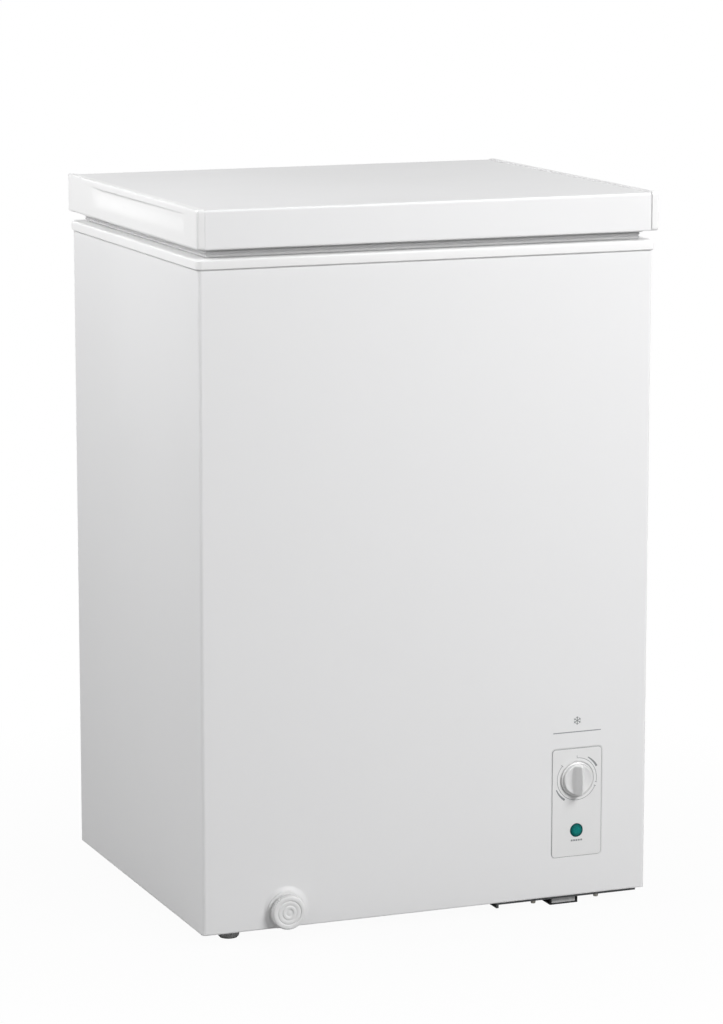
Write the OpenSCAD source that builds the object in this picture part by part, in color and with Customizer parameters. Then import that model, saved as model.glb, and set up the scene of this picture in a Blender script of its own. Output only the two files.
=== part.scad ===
// Chest freezer: a top-opening cabinet with an insulated lid, a front control panel and drain.
// The floor is at z = 0 and the front faces -Y.

/* [Cabinet] */
// Width of the steel shell
body_w = 562; // [520:1:680]
// Depth of the steel shell
body_d = 460; // [430:1:560]
// Height of the steel shell
shell_h = 769; // [700:1:930]
// Radius of the shell's vertical corners
corner_r = 4; // [2:0.5:8]
// Thickness of the shell's sheet
sheet_t = 0.7; // [0.5:0.1:1.2]
// Width of the flanges folded in at the shell's back and bottom
flange_w = 15; // [10:1:15]
// Thickness of the insulated side walls, skins included
wall_t = 56; // [45:1:68]
// Thickness of the insulated floor, skins included
floor_t = 60; // [50:1:75]
// Thickness of the liner's sheet
liner_t = 0.8; // [0.6:0.1:1.2]
// Radius of the liner's vertical corners
liner_r = 15; // [8:1:25]

/* [Compressor compartment] */
// Width of the compartment, from the shell's right face
comp_w = 193; // [175:1:235]
// Height of the compartment above the shell's bottom edge
comp_h = 215; // [195:1:260]
// Insulation between the compartment and the cavity
comp_wall = 50; // [40:1:60]
// Thickness of the compartment's shield
shield_t = 0.8; // [0.6:0.1:1.2]

/* [Collar] */
// Height of the collar above the shell
collar_h = 12; // [10:0.5:15]
// Overhang of the collar past the shell
collar_over = 3; // [2:0.5:5]
// Radius of the collar's outer corners
collar_r = 8; // [5:0.5:12]
// Thickness of the collar's walls
collar_t = 2.2; // [1.8:0.1:3]
// Width of the ledge inside the collar
ledge_w = 14; // [12:0.5:18]

/* [Lid] */
// Gap between the collar and the lid, which the gasket fills
gasket_h = 11; // [8:0.5:14]
// Height of the lid's sheet
lid_h = 44.5; // [40:0.5:56]
// Overhang of the lid past each side of the shell
lid_side_over = 4; // [3:0.5:6]
// Overhang of the lid past the front of the shell
lid_front_over = 7; // [5:0.5:10]
// Overhang of the lid past the back of the shell
lid_back_over = 6; // [4:0.5:8]
// Bend radius along the lid's upper edges
lid_bend_r = 2.5; // [1.5:0.5:4]
// Width of each end cap's visible rim
cap_w = 9; // [8:0.5:12]
// Depth of each end cap's hidden part, inside the sheet
cap_in = 14; // [12:0.5:20]
// Rise of the end caps above the sheet
cap_proud = 1; // [0.5:0.1:2]
// Radius of the end caps' outer edges
cap_r = 4; // [2:0.5:5]
// Thickness of the lid's liner
lid_liner_t = 1.5; // [1:0.1:2.5]
// Drop of the liner's middle into the cavity
plug_drop = 8; // [4:0.5:9]
// Distance from the cavity's walls to the liner's middle
plug_gap = 18; // [12:1:30]

/* [Finger recess in the end caps] */
// Height of the recess's upper lip above the lid's bottom edge
scoop_top = 37; // [33:0.5:39]
// Height of the recess
scoop_h = 21; // [16:0.5:24]
// Depth under the lip at the front end
scoop_front_depth = 4; // [3:0.5:6]
// Depth under the lip where fingers go
scoop_grip_depth = 12; // [9:0.5:15]
// Distance of the front end from the lid's front
scoop_from_front = 43; // [30:1:60]
// Length of the shallow stretch
scoop_run = 230; // [180:1:240]
// Length of the deep stretch
scoop_grip = 70; // [60:1:80]
// Length of the run-out behind the deep stretch
scoop_fade = 34; // [20:1:40]

/* [Gasket] */
// Distance of the gasket's flange from the lid's edge
gasket_in = 12; // [9:0.5:15]
// Distance of its bellows behind the flange
bellows_in = 5; // [3:0.5:7]
// Width of the gasket
gasket_w = 22; // [18:0.5:26]
// Number of ribs on the bellows
gasket_ribs = 3; // [2:1:4]
// Clearance between the closed gasket and the collar
gasket_clear = 0.3; // [0.3:0.1:0.5]

/* [Hinges] */
// Distance of each hinge from the middle
hinge_x = 170; // [130:1:195]
// Height of the hinge axis above the lid's bottom edge
hinge_up = 8; // [6:0.5:12]
// Distance of the hinge axis behind the lid's back
hinge_back = 12; // [11:0.5:15]
// Width of the bracket between its ears' outer faces
hinge_w = 46; // [40:1:56]
// Thickness of the hinge plates
hinge_t = 2; // [1.5:0.1:2.5]
// Radius of the hinge pin
hinge_pin_r = 3; // [2.5:0.1:4]
// Radius of the bracket ears' round ends
hinge_ear_r = 8; // [7:0.5:8.5]
// Height of the bracket's plate
hinge_plate_h = 66; // [50:1:80]
// Running clearance of a pin in its bore
run_fit = 0.06; // [0.03:0.01:0.1]

/* [Control panel] */
// Distance of the panel's centre from the shell's right face
panel_from_right = 90.75; // [70:0.25:100]
// Height of the panel's lower edge above the shell's bottom edge
panel_z = 48; // [40:1:52]
// Width of the panel
panel_w = 63.5; // [60:0.5:80]
// Height of the panel
panel_h = 131; // [120:1:140]
// Corner radius of the panel
panel_r = 4; // [2:0.5:6]
// Gap round the panel
panel_gap = 0.5; // [0.3:0.1:0.8]
// Height of the knob's centre above the panel's lower edge
knob_up = 94; // [85:1:96]
// Radius of the knob
knob_r = 20.6; // [18:0.1:22]
// Reach of the knob in front of the panel
knob_reach = 17.4; // [14:0.1:22]
// Width of the knob's grip
grip_w = 12; // [9:0.5:14]
// Radius of the thermostat's shaft
shaft_r = 3; // [2.5:0.1:3.5]
// Height of the lamp's centre above the panel's lower edge
lamp_up = 31.3; // [26:0.1:36]
// Radius of the lamp's lens
lamp_r = 8.3; // [6:0.1:9]
// Depth of the control box behind the front sheet
box_depth = 45; // [42:1:60]

/* [Drain] */
// Distance of the drain from the shell's left face
drain_from_left = 102; // [70:1:130]
// Height of the drain above the shell's bottom edge
drain_up = 19.8; // [19:0.1:30]
// Radius of the drain cap
drain_cap_r = 20.5; // [18:0.1:21]
// Reach of the drain cap in front of the shell
drain_cap_reach = 12; // [9:0.5:16]
// Outer radius of the drain spigot
spigot_r = 9; // [7:0.1:10]
// Outer radius of the drain tube
drain_tube_r = 8; // [6:0.1:8.5]
// Wall of the drain tube
drain_wall = 2; // [1.5:0.1:2.5]

/* [Base] */
// Clearance under the shell
foot_h = 12.5; // [12:0.5:20]
// Radius of the levelling feet
foot_r = 13; // [12:0.5:18]
// Radius of the feet's studs
stud_r = 4; // [3:0.5:5]
// Distance of the feet from the shell's left face
foot_in_x = 41; // [30:1:60]
// Distance of the feet from the shell's front and back
foot_in_y = 28; // [28:1:60]
// Width of the compressor tray
tray_w = 182; // [165:1:190]
// Thickness of the tray
tray_t = 3; // [2:0.1:4]
// Depth of the tray's down-turned left edge
tray_hook = 4; // [4:0.5:8]
// Width of the support rail
rail_w = 36; // [28:1:44]
// Wall of the support rail
rail_t = 2; // [1.5:0.1:3]
// Setback of the rail behind the shell's front
rail_in = 9; // [6:1:16]
// Reach of the wall spacers behind the shell
spacer_reach = 26; // [24:1:40]

/* [Compressor] */
// Radius of the compressor
can_r = 58; // [50:1:62]
// Height of the compressor
can_h = 148; // [120:1:155]
// Height of the compressor above the tray
can_up = 20; // [16:1:24]
// Distance of the compressor's axis from the shell's back
can_from_back = 98; // [90:1:120]
// Outer radius of the refrigerant pipes
pipe_r = 3; // [2.5:0.1:3.5]

/* [Basket] */
// Width of the basket
basket_w = 178; // [140:1:182]
// Depth of the basket below the ledge
basket_h = 190; // [120:1:230]
// Distance between the basket and the liner's right wall
basket_gap = 8; // [6:1:12]
// Radius of the basket's frame wires
frame_wire_r = 2.5; // [2:0.1:3]
// Radius of the basket's mesh wires
mesh_wire_r = 1.6; // [1.3:0.1:2]
// Number of mesh wires across the basket
basket_across = 6; // [4:1:8]
// Number of mesh wires along the basket
basket_along = 9; // [6:1:11]

/* [Hidden] */
$fn = 64;
// overlap that makes a cut pass right through a face
cut = 1;
// how far two welded wires sink into each other
weld = 0.5;

// horizontal places
x_side = body_w / 2;
x_in = x_side - wall_t;
front_reach = knob_reach;
back_reach = max(spacer_reach, lid_back_over + hinge_back + hinge_ear_r);
y_front = -(front_reach + body_d + back_reach) / 2 + front_reach;
y_back = y_front + body_d;
y_in0 = y_front + wall_t;
y_in1 = y_back - wall_t;

// heights of the cabinet
z_shell0 = foot_h;
z_shell1 = z_shell0 + shell_h;
z_collar1 = z_shell1 + collar_h;
z_in0 = z_shell0 + floor_t;
panel_t = sheet_t;
z_floor_panel = z_shell0 + sheet_t;
z_foam0 = z_floor_panel + panel_t;
y_foam1 = y_back - sheet_t - panel_t;

// compartment and the step that it makes in the cavity
x_comp = x_side - comp_w;
z_comp = z_shell0 + comp_h;
x_step = x_comp - comp_wall;
z_step = z_comp + comp_wall;

// lid
x_lid = x_side + lid_side_over;
x_seam = x_lid - cap_w;
x_cap_in = x_seam - cap_in;
y_lid0 = y_front - lid_front_over;
y_lid1 = y_back + lid_back_over;
z_lid0 = z_collar1 + gasket_h;
z_lid1 = z_lid0 + lid_h;
y_scoop = y_lid0 + scoop_from_front;

// hinge axis
y_hinge = y_lid1 + hinge_back;
z_hinge = z_lid0 + hinge_up;
leaf_gap = 0.5;
ear_in = hinge_w / 2 - hinge_t;
z_bracket = z_shell1 - hinge_plate_h - 6;
hinge_screw_r = 2;
hinge_screw_x = 14;
hinge_screw_len = 5;
hinge_screw_in = 12;
// places of the hinge screws, as pairs of x and z
hinge_screw_at = [
    for (side = [-1, 1], dx = [-hinge_screw_x, hinge_screw_x], z = [hinge_screw_in, hinge_plate_h - hinge_screw_in])
        [side * hinge_x + dx, z_bracket + z]
];
leaf_plate_w = 60;
leaf_plate_h = 26;
z_leaf = z_hinge - 3;
leaf_screw_x = 22;
leaf_screw_up = 18;
// places of the leaf screws, as pairs of x and z
leaf_screw_at = [
    for (side = [-1, 1], dx = [-leaf_screw_x, leaf_screw_x])
        [side * hinge_x + dx, z_leaf + leaf_screw_up]
];

// control panel
x_panel = x_side - panel_from_right;
z_panel = z_shell0 + panel_z;
z_knob = z_panel + knob_up;
z_lamp = z_panel + lamp_up;
fascia_proud = 0.6;
fascia_t = 3;
y_fascia = y_front - fascia_proud;
y_fascia_back = y_fascia + fascia_t;
box_t = 1.6;
y_box_back = y_front + box_depth;
recess_depth = 1;
y_skirt = y_fascia + recess_depth - 0.3;

sensor_r = 1.5;
sensor_in = 30;
z_sensor = z_step + 40;

// drain
x_drain = -x_side + drain_from_left;
z_drain = z_shell0 + drain_up;
socket_t = 3;
socket_r = spigot_r + socket_t;
socket_depth = 34;
socket_flange_r = drain_cap_r + 2.5;
socket_flange_t = 1.5;
y_cap_back = y_front - socket_flange_t - 0.3;
y_sump = y_in0 + 36;

// base
x_foot = -x_side + foot_in_x;
y_feet = [y_front + foot_in_y, y_back - foot_in_y];
insert_r = stud_r + 4;
insert_h = 26;
x_tray1 = x_comp + tray_w;
z_tray0 = z_shell0 - tray_t;
x_rail = (x_comp + x_tray1) / 2;
screw_r = 1.8;
screw_head_r = 3.3;
screw_head_h = 2;
tray_screw_in = 7;
tray_screw_head_h = 3.8;
tray_screw_x = 41;

// grille
grille_t = 1.2;
grille_in = 0.6;
grille_screw_in = 12;
// places of the grille's screws
grille_screw_at = [
    for (x = [x_comp + 10, x_side - 28], z = [z_shell0 + grille_screw_in, z_comp - grille_screw_in])
        [x, z]
];
gland_r = 4.2;
gland_wall = 2.4;
x_gland = x_comp + 34;
z_gland = z_shell0 + 26;

// compressor and refrigerant circuit
x_can = (x_comp + x_side) / 2;
y_can = y_back - can_from_back;
z_can = z_shell0 + can_up;
grommet_x = 64;
grommet_y = 50;
grommet_r = 11;
// places of the compressor's four feet
grommet_at = [
    for (x = [-grommet_x, grommet_x], y = [-grommet_y, grommet_y])
        [x_can + x, y_can + y]
];
mount_t = 3;
bolt_r = 3;
coil_clear = 0.5;
coil_slot = 2 * pipe_r + 2 * coil_clear;
z_coil0 = z_step + 26;
evap_turns = 8;
evap_pitch = (z_shell1 - 60 - z_coil0) / (evap_turns - 1);
cond_turns = 5;
cond_pitch = (z_shell1 - 80 - z_coil0) / (cond_turns - 1);
evap_out = liner_t + coil_clear + pipe_r;
cond_in = sheet_t + max(panel_t, grille_t) + coil_clear + pipe_r;
cond_bend_r = 12;
y_evap = y_in1 + evap_out;
y_cond = y_back - cond_in;
x_suction = x_can - 10;
x_discharge = x_can + 18;
x_drier = x_comp + 20;
drier_r = 8;
drier_h = 96;
z_drier = z_shell0 + 50;
capillary_r = 1.2;

// basket
ledge_t = collar_t;
z_ledge = z_shell1 + ledge_t;
slide_clear = 0.3;
x_basket1 = x_in - basket_gap;
x_basket0 = x_basket1 - basket_w;
basket_side = 7;
y_basket0 = y_in0 + basket_side;
y_basket1 = y_in1 - basket_side;
z_hanger = z_ledge + slide_clear + frame_wire_r;
z_rim = z_hanger - 2 * frame_wire_r + weld;
z_basket = z_rim - basket_h;
basket_r = 12;
leg_in = frame_wire_r + mesh_wire_r - weld;
mesh_r = 8;

// ---- shared shapes ----

// rectangle with round corners, from (x0, y0) to (x1, y1)
module rrect(x0, x1, y0, y1, r) {
    translate([x0 + r, y0])
        square([x1 - x0 - 2 * r, y1 - y0]);
    translate([x0, y0 + r])
        square([x1 - x0, y1 - y0 - 2 * r]);
    for (x = [x0 + r, x1 - r], y = [y0 + r, y1 - r])
        translate([x, y])
            circle(r);
}

// block from its low corner to its high corner
module block(low, high) {
    translate(low)
        cube(high - low);
}

// upright prism with the shell's footprint, drawn in by d on each side
module shell_prism(d, z0, z1) {
    translate([0, 0, z0])
        linear_extrude(z1 - z0)
            rrect(-x_side + d, x_side - d, y_front + d, y_back - d, max(corner_r - d, 0.5));
}

// upright prism with the cavity's footprint, grown by d on each side
module cavity_prism(d, z0, z1) {
    translate([0, 0, z0])
        linear_extrude(z1 - z0)
            rrect(-x_in - d, x_in + d, y_in0 - d, y_in1 + d, max(liner_r + d, 3));
}

// the cavity with the step over the compartment, grown by d
module cavity(d, z1) {
    difference() {
        cavity_prism(d, z_in0 - d, z1);
        block([x_step + d, y_in0 - wall_t, z_in0 - floor_t], [x_side + cut, y_in1 + wall_t, z_step - d]);
    }
}

// rod along Y from y0 to y1
module rod_y(x, z, y0, y1, r) {
    translate([x, y0, z])
        rotate([-90, 0, 0])
            cylinder(h = y1 - y0, r = r);
}

// rod along X from x0 to x1
module rod_x(y, z, x0, x1, r) {
    translate([x0, y, z])
        rotate([0, 90, 0])
            cylinder(h = x1 - x0, r = r);
}

// upright rod from z0 to z1
module rod_z(x, y, z0, z1, r) {
    translate([x, y, z0])
        cylinder(h = z1 - z0, r = r);
}

// quarter bend of a wire of radius r, turned to start at the given angle
module wire_bend(bend_r, r, start) {
    rotate([0, 0, start])
        rotate_extrude(angle = 90)
            translate([bend_r, 0])
                circle(r);
}

// level rectangular loop of wire with round corners
module wire_loop(x0, x1, y0, y1, z, r, bend_r) {
    for (y = [y0, y1])
        rod_x(y, z, x0 + bend_r, x1 - bend_r, r);
    for (x = [x0, x1])
        rod_y(x, z, y0 + bend_r, y1 - bend_r, r);
    translate([x1 - bend_r, y1 - bend_r, z])
        wire_bend(bend_r, r, 0);
    translate([x0 + bend_r, y1 - bend_r, z])
        wire_bend(bend_r, r, 90);
    translate([x0 + bend_r, y0 + bend_r, z])
        wire_bend(bend_r, r, 180);
    translate([x1 - bend_r, y0 + bend_r, z])
        wire_bend(bend_r, r, 270);
}

// wire bent to a U that hangs in the XZ plane between a0 and a1
module wire_u(a0, a1, z0, z1, r, bend_r) {
    rod_x(0, z0, a0 + bend_r, a1 - bend_r, r);
    for (a = [a0, a1])
        rod_z(a, 0, z0 + bend_r, z1, r);
    translate([a0 + bend_r, 0, z0 + bend_r])
        rotate([90, 0, 0])
            wire_bend(bend_r, r, 180);
    translate([a1 - bend_r, 0, z0 + bend_r])
        rotate([90, 0, 0])
            wire_bend(bend_r, r, 270);
}

// upright disc with flutes round its edge
module fluted(r, h, count, flute_r) {
    difference() {
        cylinder(h = h, r = r);
        for (i = [0:count - 1])
            rotate([0, 0, 360 * (i + 0.5) / count])
                translate([r + flute_r * 0.4, 0, -cut])
                    cylinder(h = h + 2 * cut, r = flute_r, $fn = 24);
    }
}

// screw along -Z under the origin's plane: head above, shank below
module pan_screw(shank_r, head_r, head_h, length) {
    translate([0, 0, -length])
        cylinder(h = length, r = shank_r);
    difference() {
        cylinder(h = head_h, r1 = head_r, r2 = head_r * 0.8);
        for (a = [0, 90])
            rotate([0, 0, a])
                translate([-head_r * 0.55, -0.4, head_h / 2])
                    cube([head_r * 1.1, 0.8, head_h]);
    }
}

// ---- cabinet ----

// opening for the control panel in the front sheet
module panel_opening(d, y0, y1) {
    translate([0, y1, 0])
        rotate([90, 0, 0])
            linear_extrude(y1 - y0)
                rrect(
                    x_panel - panel_w / 2 - d, x_panel + panel_w / 2 + d,
                    z_panel - d, z_panel + panel_h + d, panel_r + d
                );
}

// folded wrap: front, sides, and the flanges at the back and the bottom
module outer_shell() {
    color("white")
        difference() {
            shell_prism(0, z_shell0, z_shell1);
            difference() {
                shell_prism(sheet_t, z_shell0 - cut, z_shell1 + cut);
                difference() {
                    shell_prism(sheet_t - 0.1, z_shell0 - 2 * cut, z_floor_panel);
                    shell_prism(flange_w, z_shell0 - 3 * cut, z_floor_panel + cut);
                }
            }
            block(
                [-x_side + flange_w, y_back - 1.5 * sheet_t, z_shell0 - cut],
                [x_side - flange_w, y_back + cut, z_shell1 + cut]
            );
            panel_opening(panel_gap, y_front - cut, y_front + 2 * cut);
            rod_y(x_drain, z_drain, y_front - cut, y_front + 2 * cut, socket_r);
            for (x = [-tray_screw_x, tray_screw_x])
                rod_z(x_rail + x, y_front + tray_screw_in, z_shell0 - cut, z_floor_panel + cut, screw_r);
        }
}

// sheet that closes the back, cut out round the compartment
module back_panel() {
    color("gainsboro")
        difference() {
            block(
                [-x_side + corner_r, y_foam1, z_floor_panel],
                [x_side - corner_r, y_foam1 + panel_t, z_shell1]
            );
            block([x_comp, y_foam1 - cut, z_shell0 - cut], [x_side, y_back, z_comp]);
            for (p = hinge_screw_at)
                rod_y(p[0], p[1], y_foam1 - cut, y_back, hinge_screw_r);
        }
}

// sheet that closes the insulated floor
module bottom_panel() {
    color("silver")
        difference() {
            block([-x_side + corner_r, y_front + sheet_t, z_floor_panel], [x_comp, y_foam1, z_foam0]);
            for (y = y_feet)
                rod_z(x_foot, y, z_shell0 - cut, z_foam0 + cut, insert_r);
        }
}

// poured foam between the shell, the liner and the compartment
module insulation_foam() {
    color("khaki")
        difference() {
            shell_prism(sheet_t, z_foam0, z_shell1);
            block([-x_side, y_foam1, z_shell0], [x_side, y_back + cut, z_shell1 + cut]);
            cavity(liner_t, z_shell1 + cut);
            cavity_prism(liner_t + 12, z_shell1 - liner_t, z_shell1 + cut);
            block(
                [x_comp - shield_t, y_front, z_shell0],
                [x_side + cut, y_back, z_comp + shield_t]
            );
            for (i = [0:evap_turns - 1])
                translate([0, 0, z_coil0 + i * evap_pitch - coil_slot / 2])
                    cavity_prism(liner_t + coil_slot, 0, coil_slot);
            for (i = [0:cond_turns - 1])
                translate([0, 0, z_coil0 + i * cond_pitch - coil_slot / 2])
                    condenser_slot();
            pipe_riser(coil_clear);
            evaporator_link(coil_clear);
            condenser_link(coil_clear);
            drain_path(drain_tube_r);
            rod_y(x_drain, z_drain, y_front, y_front + socket_depth, socket_r);
            for (y = y_feet)
                rod_z(x_foot, y, z_shell0, z_shell0 + insert_h, insert_r);
            for (p = hinge_screw_at)
                rod_y(p[0], p[1], y_back - hinge_screw_len - 1, y_back, hinge_screw_r);
            rod_z(x_drier, y_front + sensor_in, z_comp, z_sensor, sensor_r + coil_clear);
        }
}

// groove in the foam for one turn of the condenser
module condenser_slot() {
    inner = cond_in + pipe_r + coil_clear;
    difference() {
        block([-x_side, y_front, 0], [x_side, y_back, coil_slot]);
        translate([0, 0, -cut])
            linear_extrude(coil_slot + 2 * cut)
                rrect(
                    -x_side + inner, x_side - inner, y_front + inner, y_back - inner,
                    cond_bend_r - pipe_r - coil_clear
                );
    }
}

// folded sheet box of the cavity, with the step and a flange round the top
module inner_liner() {
    color("whitesmoke")
        difference() {
            union() {
                cavity(liner_t, z_shell1);
                cavity_prism(liner_t + 12, z_shell1 - liner_t, z_shell1);
            }
            cavity(0, z_shell1 + cut);
            rod_z(x_drain, y_sump, z_in0 - 2 * cut, z_in0 + cut, drain_tube_r);
        }
}

// lining of the compartment: left wall and ceiling
module compartment_shield() {
    color("silver")
        difference() {
            block(
                [x_comp - shield_t, y_front + sheet_t, z_foam0],
                [x_side - corner_r, y_foam1, z_comp + shield_t]
            );
            block([x_comp, y_front, z_shell0], [x_side, y_back, z_comp]);
            pipe_riser(coil_clear);
            rod_z(x_drier, y_front + sensor_in, z_comp - cut, z_comp + 3 * cut, sensor_r + coil_clear);
        }
}

// plastic frame on top of the shell, with an inner ledge for the basket
module top_collar() {
    color("white")
        difference() {
            translate([0, 0, z_shell1])
                linear_extrude(collar_h)
                    rrect(
                        -x_side - collar_over, x_side + collar_over,
                        y_front - collar_over, y_back + collar_over, collar_r
                    );
            cavity_prism(0, z_shell1 - cut, z_collar1 + cut);
            cavity_prism(ledge_w, z_ledge, z_collar1 + cut);
            difference() {
                shell_prism(collar_t, z_shell1 - cut, z_collar1 - collar_t);
                cavity_prism(ledge_w + collar_t, z_shell1 - 2 * cut, z_collar1);
            }
        }
}

// ---- refrigerant circuit ----

// upright tubes that join the turns of each coil, grown by d
module evaporator_link(d) {
    rod_z(-x_in + 60, y_evap, z_coil0, z_coil0 + (evap_turns - 1) * evap_pitch, pipe_r - weld + d);
}

module condenser_link(d) {
    rod_z(-x_in + 60, y_cond, z_coil0, z_coil0 + (cond_turns - 1) * cond_pitch, pipe_r - weld + d);
}

// tube wound round the liner
module evaporator_coil() {
    color("silver") {
        for (i = [0:evap_turns - 1])
            wire_loop(
                -x_in - evap_out, x_in + evap_out, y_in0 - evap_out, y_evap,
                z_coil0 + i * evap_pitch, pipe_r, liner_r + evap_out
            );
        evaporator_link(0);
    }
}

// tube laid against the inside of the shell
module condenser_coil() {
    color("peru") {
        for (i = [0:cond_turns - 1])
            wire_loop(
                -x_side + cond_in, x_side - cond_in, y_front + cond_in, y_cond,
                z_coil0 + i * cond_pitch, pipe_r, cond_bend_r
            );
        condenser_link(0);
    }
}

// upright parts of the four pipes that pass through the foam, grown by d
module pipe_riser(d) {
    rod_z(x_suction, y_evap, z_comp - cut, z_coil0, pipe_r + d);
    rod_z(x_drier, y_evap, z_comp - cut, z_coil0, capillary_r + d);
    rod_z(x_discharge, y_cond, z_comp - cut, z_coil0, pipe_r + d);
    rod_z(x_drier, y_cond, z_comp - cut, z_coil0, pipe_r + d);
}

// round elbow where two straight pipes meet
module elbow(x, y, z, r) {
    translate([x, y, z])
        sphere(r * 1.12);
}

// return pipe from the evaporator to the compressor's top
module suction_pipe() {
    z_bend = z_comp - 9;
    y_stub = y_can + 18;
    color("peru") {
        rod_z(x_suction, y_stub, z_can + can_h, z_bend, pipe_r);
        elbow(x_suction, y_stub, z_bend, pipe_r);
        rod_y(x_suction, z_bend, y_stub, y_evap, pipe_r);
        elbow(x_suction, y_evap, z_bend, pipe_r);
        rod_z(x_suction, y_evap, z_bend, z_coil0 - pipe_r, pipe_r);
    }
}

// hot gas pipe from the compressor's top to the condenser
module discharge_pipe() {
    z_bend = z_comp - 9;
    y_stub = y_can - 10;
    color("peru") {
        rod_z(x_discharge, y_stub, z_can + can_h, z_bend, pipe_r);
        elbow(x_discharge, y_stub, z_bend, pipe_r);
        rod_y(x_discharge, z_bend, y_stub, y_cond, pipe_r);
        elbow(x_discharge, y_cond, z_bend, pipe_r);
        rod_z(x_discharge, y_cond, z_bend, z_coil0 - pipe_r, pipe_r);
    }
}

// pipe from the condenser down to the drier
module liquid_pipe() {
    z_bend = z_drier - 12;
    color("peru") {
        rod_z(x_drier, y_cond, z_bend, z_coil0 - pipe_r, pipe_r);
        elbow(x_drier, y_cond, z_bend, pipe_r);
        rod_y(x_drier, z_bend, y_evap, y_cond, pipe_r);
        elbow(x_drier, y_evap, z_bend, pipe_r);
        rod_z(x_drier, y_evap, z_bend, z_drier, pipe_r);
    }
}

// copper drier with coned ends
module filter_drier() {
    cone_h = 10;
    color("peru")
        translate([x_drier, y_evap, z_drier]) {
            cylinder(h = cone_h, r1 = pipe_r + 1, r2 = drier_r);
            translate([0, 0, cone_h])
                cylinder(h = drier_h - 2 * cone_h, r = drier_r);
            translate([0, 0, drier_h - cone_h])
                cylinder(h = cone_h, r1 = drier_r, r2 = capillary_r + 1);
        }
}

// fine tube from the drier up to the evaporator
module capillary_tube() {
    color("peru")
        rod_z(x_drier, y_evap, z_drier + drier_h, z_coil0 - pipe_r, capillary_r);
}

// sealed compressor: lower and upper shell with a weld lip between them
module compressor_can() {
    dome_r = 24;
    lip_z = can_h * 0.55;
    color("#222222")
        translate([x_can, y_can, z_can])
            rotate_extrude() {
                square([can_r - dome_r, can_h]);
                translate([0, dome_r])
                    square([can_r, can_h - 2 * dome_r]);
                for (z = [dome_r, can_h - dome_r])
                    translate([can_r - dome_r, z])
                        intersection() {
                            circle(dome_r);
                            translate([0, -dome_r])
                                square([dome_r, 2 * dome_r]);
                        }
                translate([0, lip_z])
                    square([can_r + 3, 4]);
            }
}

// plate welded under the compressor
module compressor_mount() {
    color("#2c2c2c")
        difference() {
            translate([0, 0, z_can - mount_t])
                linear_extrude(mount_t)
                    rrect(
                        x_can - grommet_x - 13, x_can + grommet_x + 13,
                        y_can - grommet_y - 13, y_can + grommet_y + 13, 12
                    );
            for (p = grommet_at)
                rod_z(p[0], p[1], z_can - mount_t - cut, z_can + cut, grommet_r - 3);
        }
}

// rubber grommets between the plate and the tray
module compressor_grommets() {
    color("#333333")
        for (p = grommet_at)
            difference() {
                union() {
                    rod_z(p[0], p[1], z_shell0, z_can - mount_t, grommet_r);
                    rod_z(p[0], p[1], z_can - mount_t, z_can, grommet_r - 3);
                    rod_z(p[0], p[1], z_can, z_can + 4, grommet_r);
                }
                rod_z(p[0], p[1], z_shell0 - cut, z_can + 4 + cut, bolt_r + 1);
            }
}

// bolts that hold the grommets down
module compressor_bolts() {
    color("silver")
        for (p = grommet_at) {
            rod_z(p[0], p[1], z_tray0 - 1.5, z_can + 6, bolt_r);
            rod_z(p[0], p[1], z_can + 4, z_can + 6, grommet_r - 2);
            translate([p[0], p[1], z_can + 6])
                cylinder(h = 5, r = 5.8, $fn = 6);
        }
}

// relay and overload box on the compressor's side
module start_relay() {
    color("#1d1d1d")
        difference() {
            block(
                [x_can - can_r - 20, y_can - 24, z_can + 40],
                [x_can - can_r + 14, y_can + 24, z_can + 78]
            );
            rod_z(x_can, y_can, z_can, z_can + can_h, can_r + 0.1);
            rod_z(x_can, y_can, z_can + can_h * 0.55 - 0.1, z_can + can_h, can_r + 3.2);
        }
}

// ---- base ----

// steel tray under the compartment, with a down-turned left edge
module base_tray() {
    color("dimgray")
        difference() {
            union() {
                block([x_comp, y_front + 2, z_tray0], [x_tray1, y_back - 2, z_shell0]);
                block([x_comp, y_front + 2, z_tray0 - tray_hook], [x_comp + tray_t, y_back - 2, z_tray0]);
            }
            for (x = [-tray_screw_x, tray_screw_x])
                rod_z(x_rail + x, y_front + tray_screw_in, z_tray0 - cut, z_shell0 + cut, screw_r);
            for (p = grommet_at)
                rod_z(p[0], p[1], z_tray0 - cut, z_shell0 + cut, bolt_r);
        }
}

// channel that carries the tray, open at the top
module support_rail() {
    color("#111111")
        difference() {
            block(
                [x_rail - rail_w / 2, y_front + rail_in, 0],
                [x_rail + rail_w / 2, y_back - rail_in, z_tray0]
            );
            block(
                [x_rail - rail_w / 2 + rail_t, y_front, rail_t / 2],
                [x_rail + rail_w / 2 - rail_t, y_back, z_tray0 + cut]
            );
        }
}

// plastic filling of the rail
module rail_pad() {
    color("silver")
        block(
            [x_rail - rail_w / 2 + rail_t, y_front + rail_in + 1, rail_t / 2],
            [x_rail + rail_w / 2 - rail_t, y_back - rail_in - 1, z_tray0]
        );
}

// threaded inserts for the feet
module foot_inserts() {
    color("lightgray")
        for (y = y_feet)
            difference() {
                union() {
                    rod_z(x_foot, y, z_floor_panel, z_shell0 + insert_h, insert_r);
                    rod_z(x_foot, y, z_floor_panel - cut, z_floor_panel, insert_r + 3);
                }
                rod_z(x_foot, y, z_shell0 - 2 * cut, z_shell0 + insert_h - 2, stud_r + run_fit);
            }
}

// plain stand-in for the threaded stud
module foot_stud(y) {
    color("silver")
        rod_z(x_foot, y, 3, z_shell0 + insert_h - 4, stud_r);
}

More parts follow.
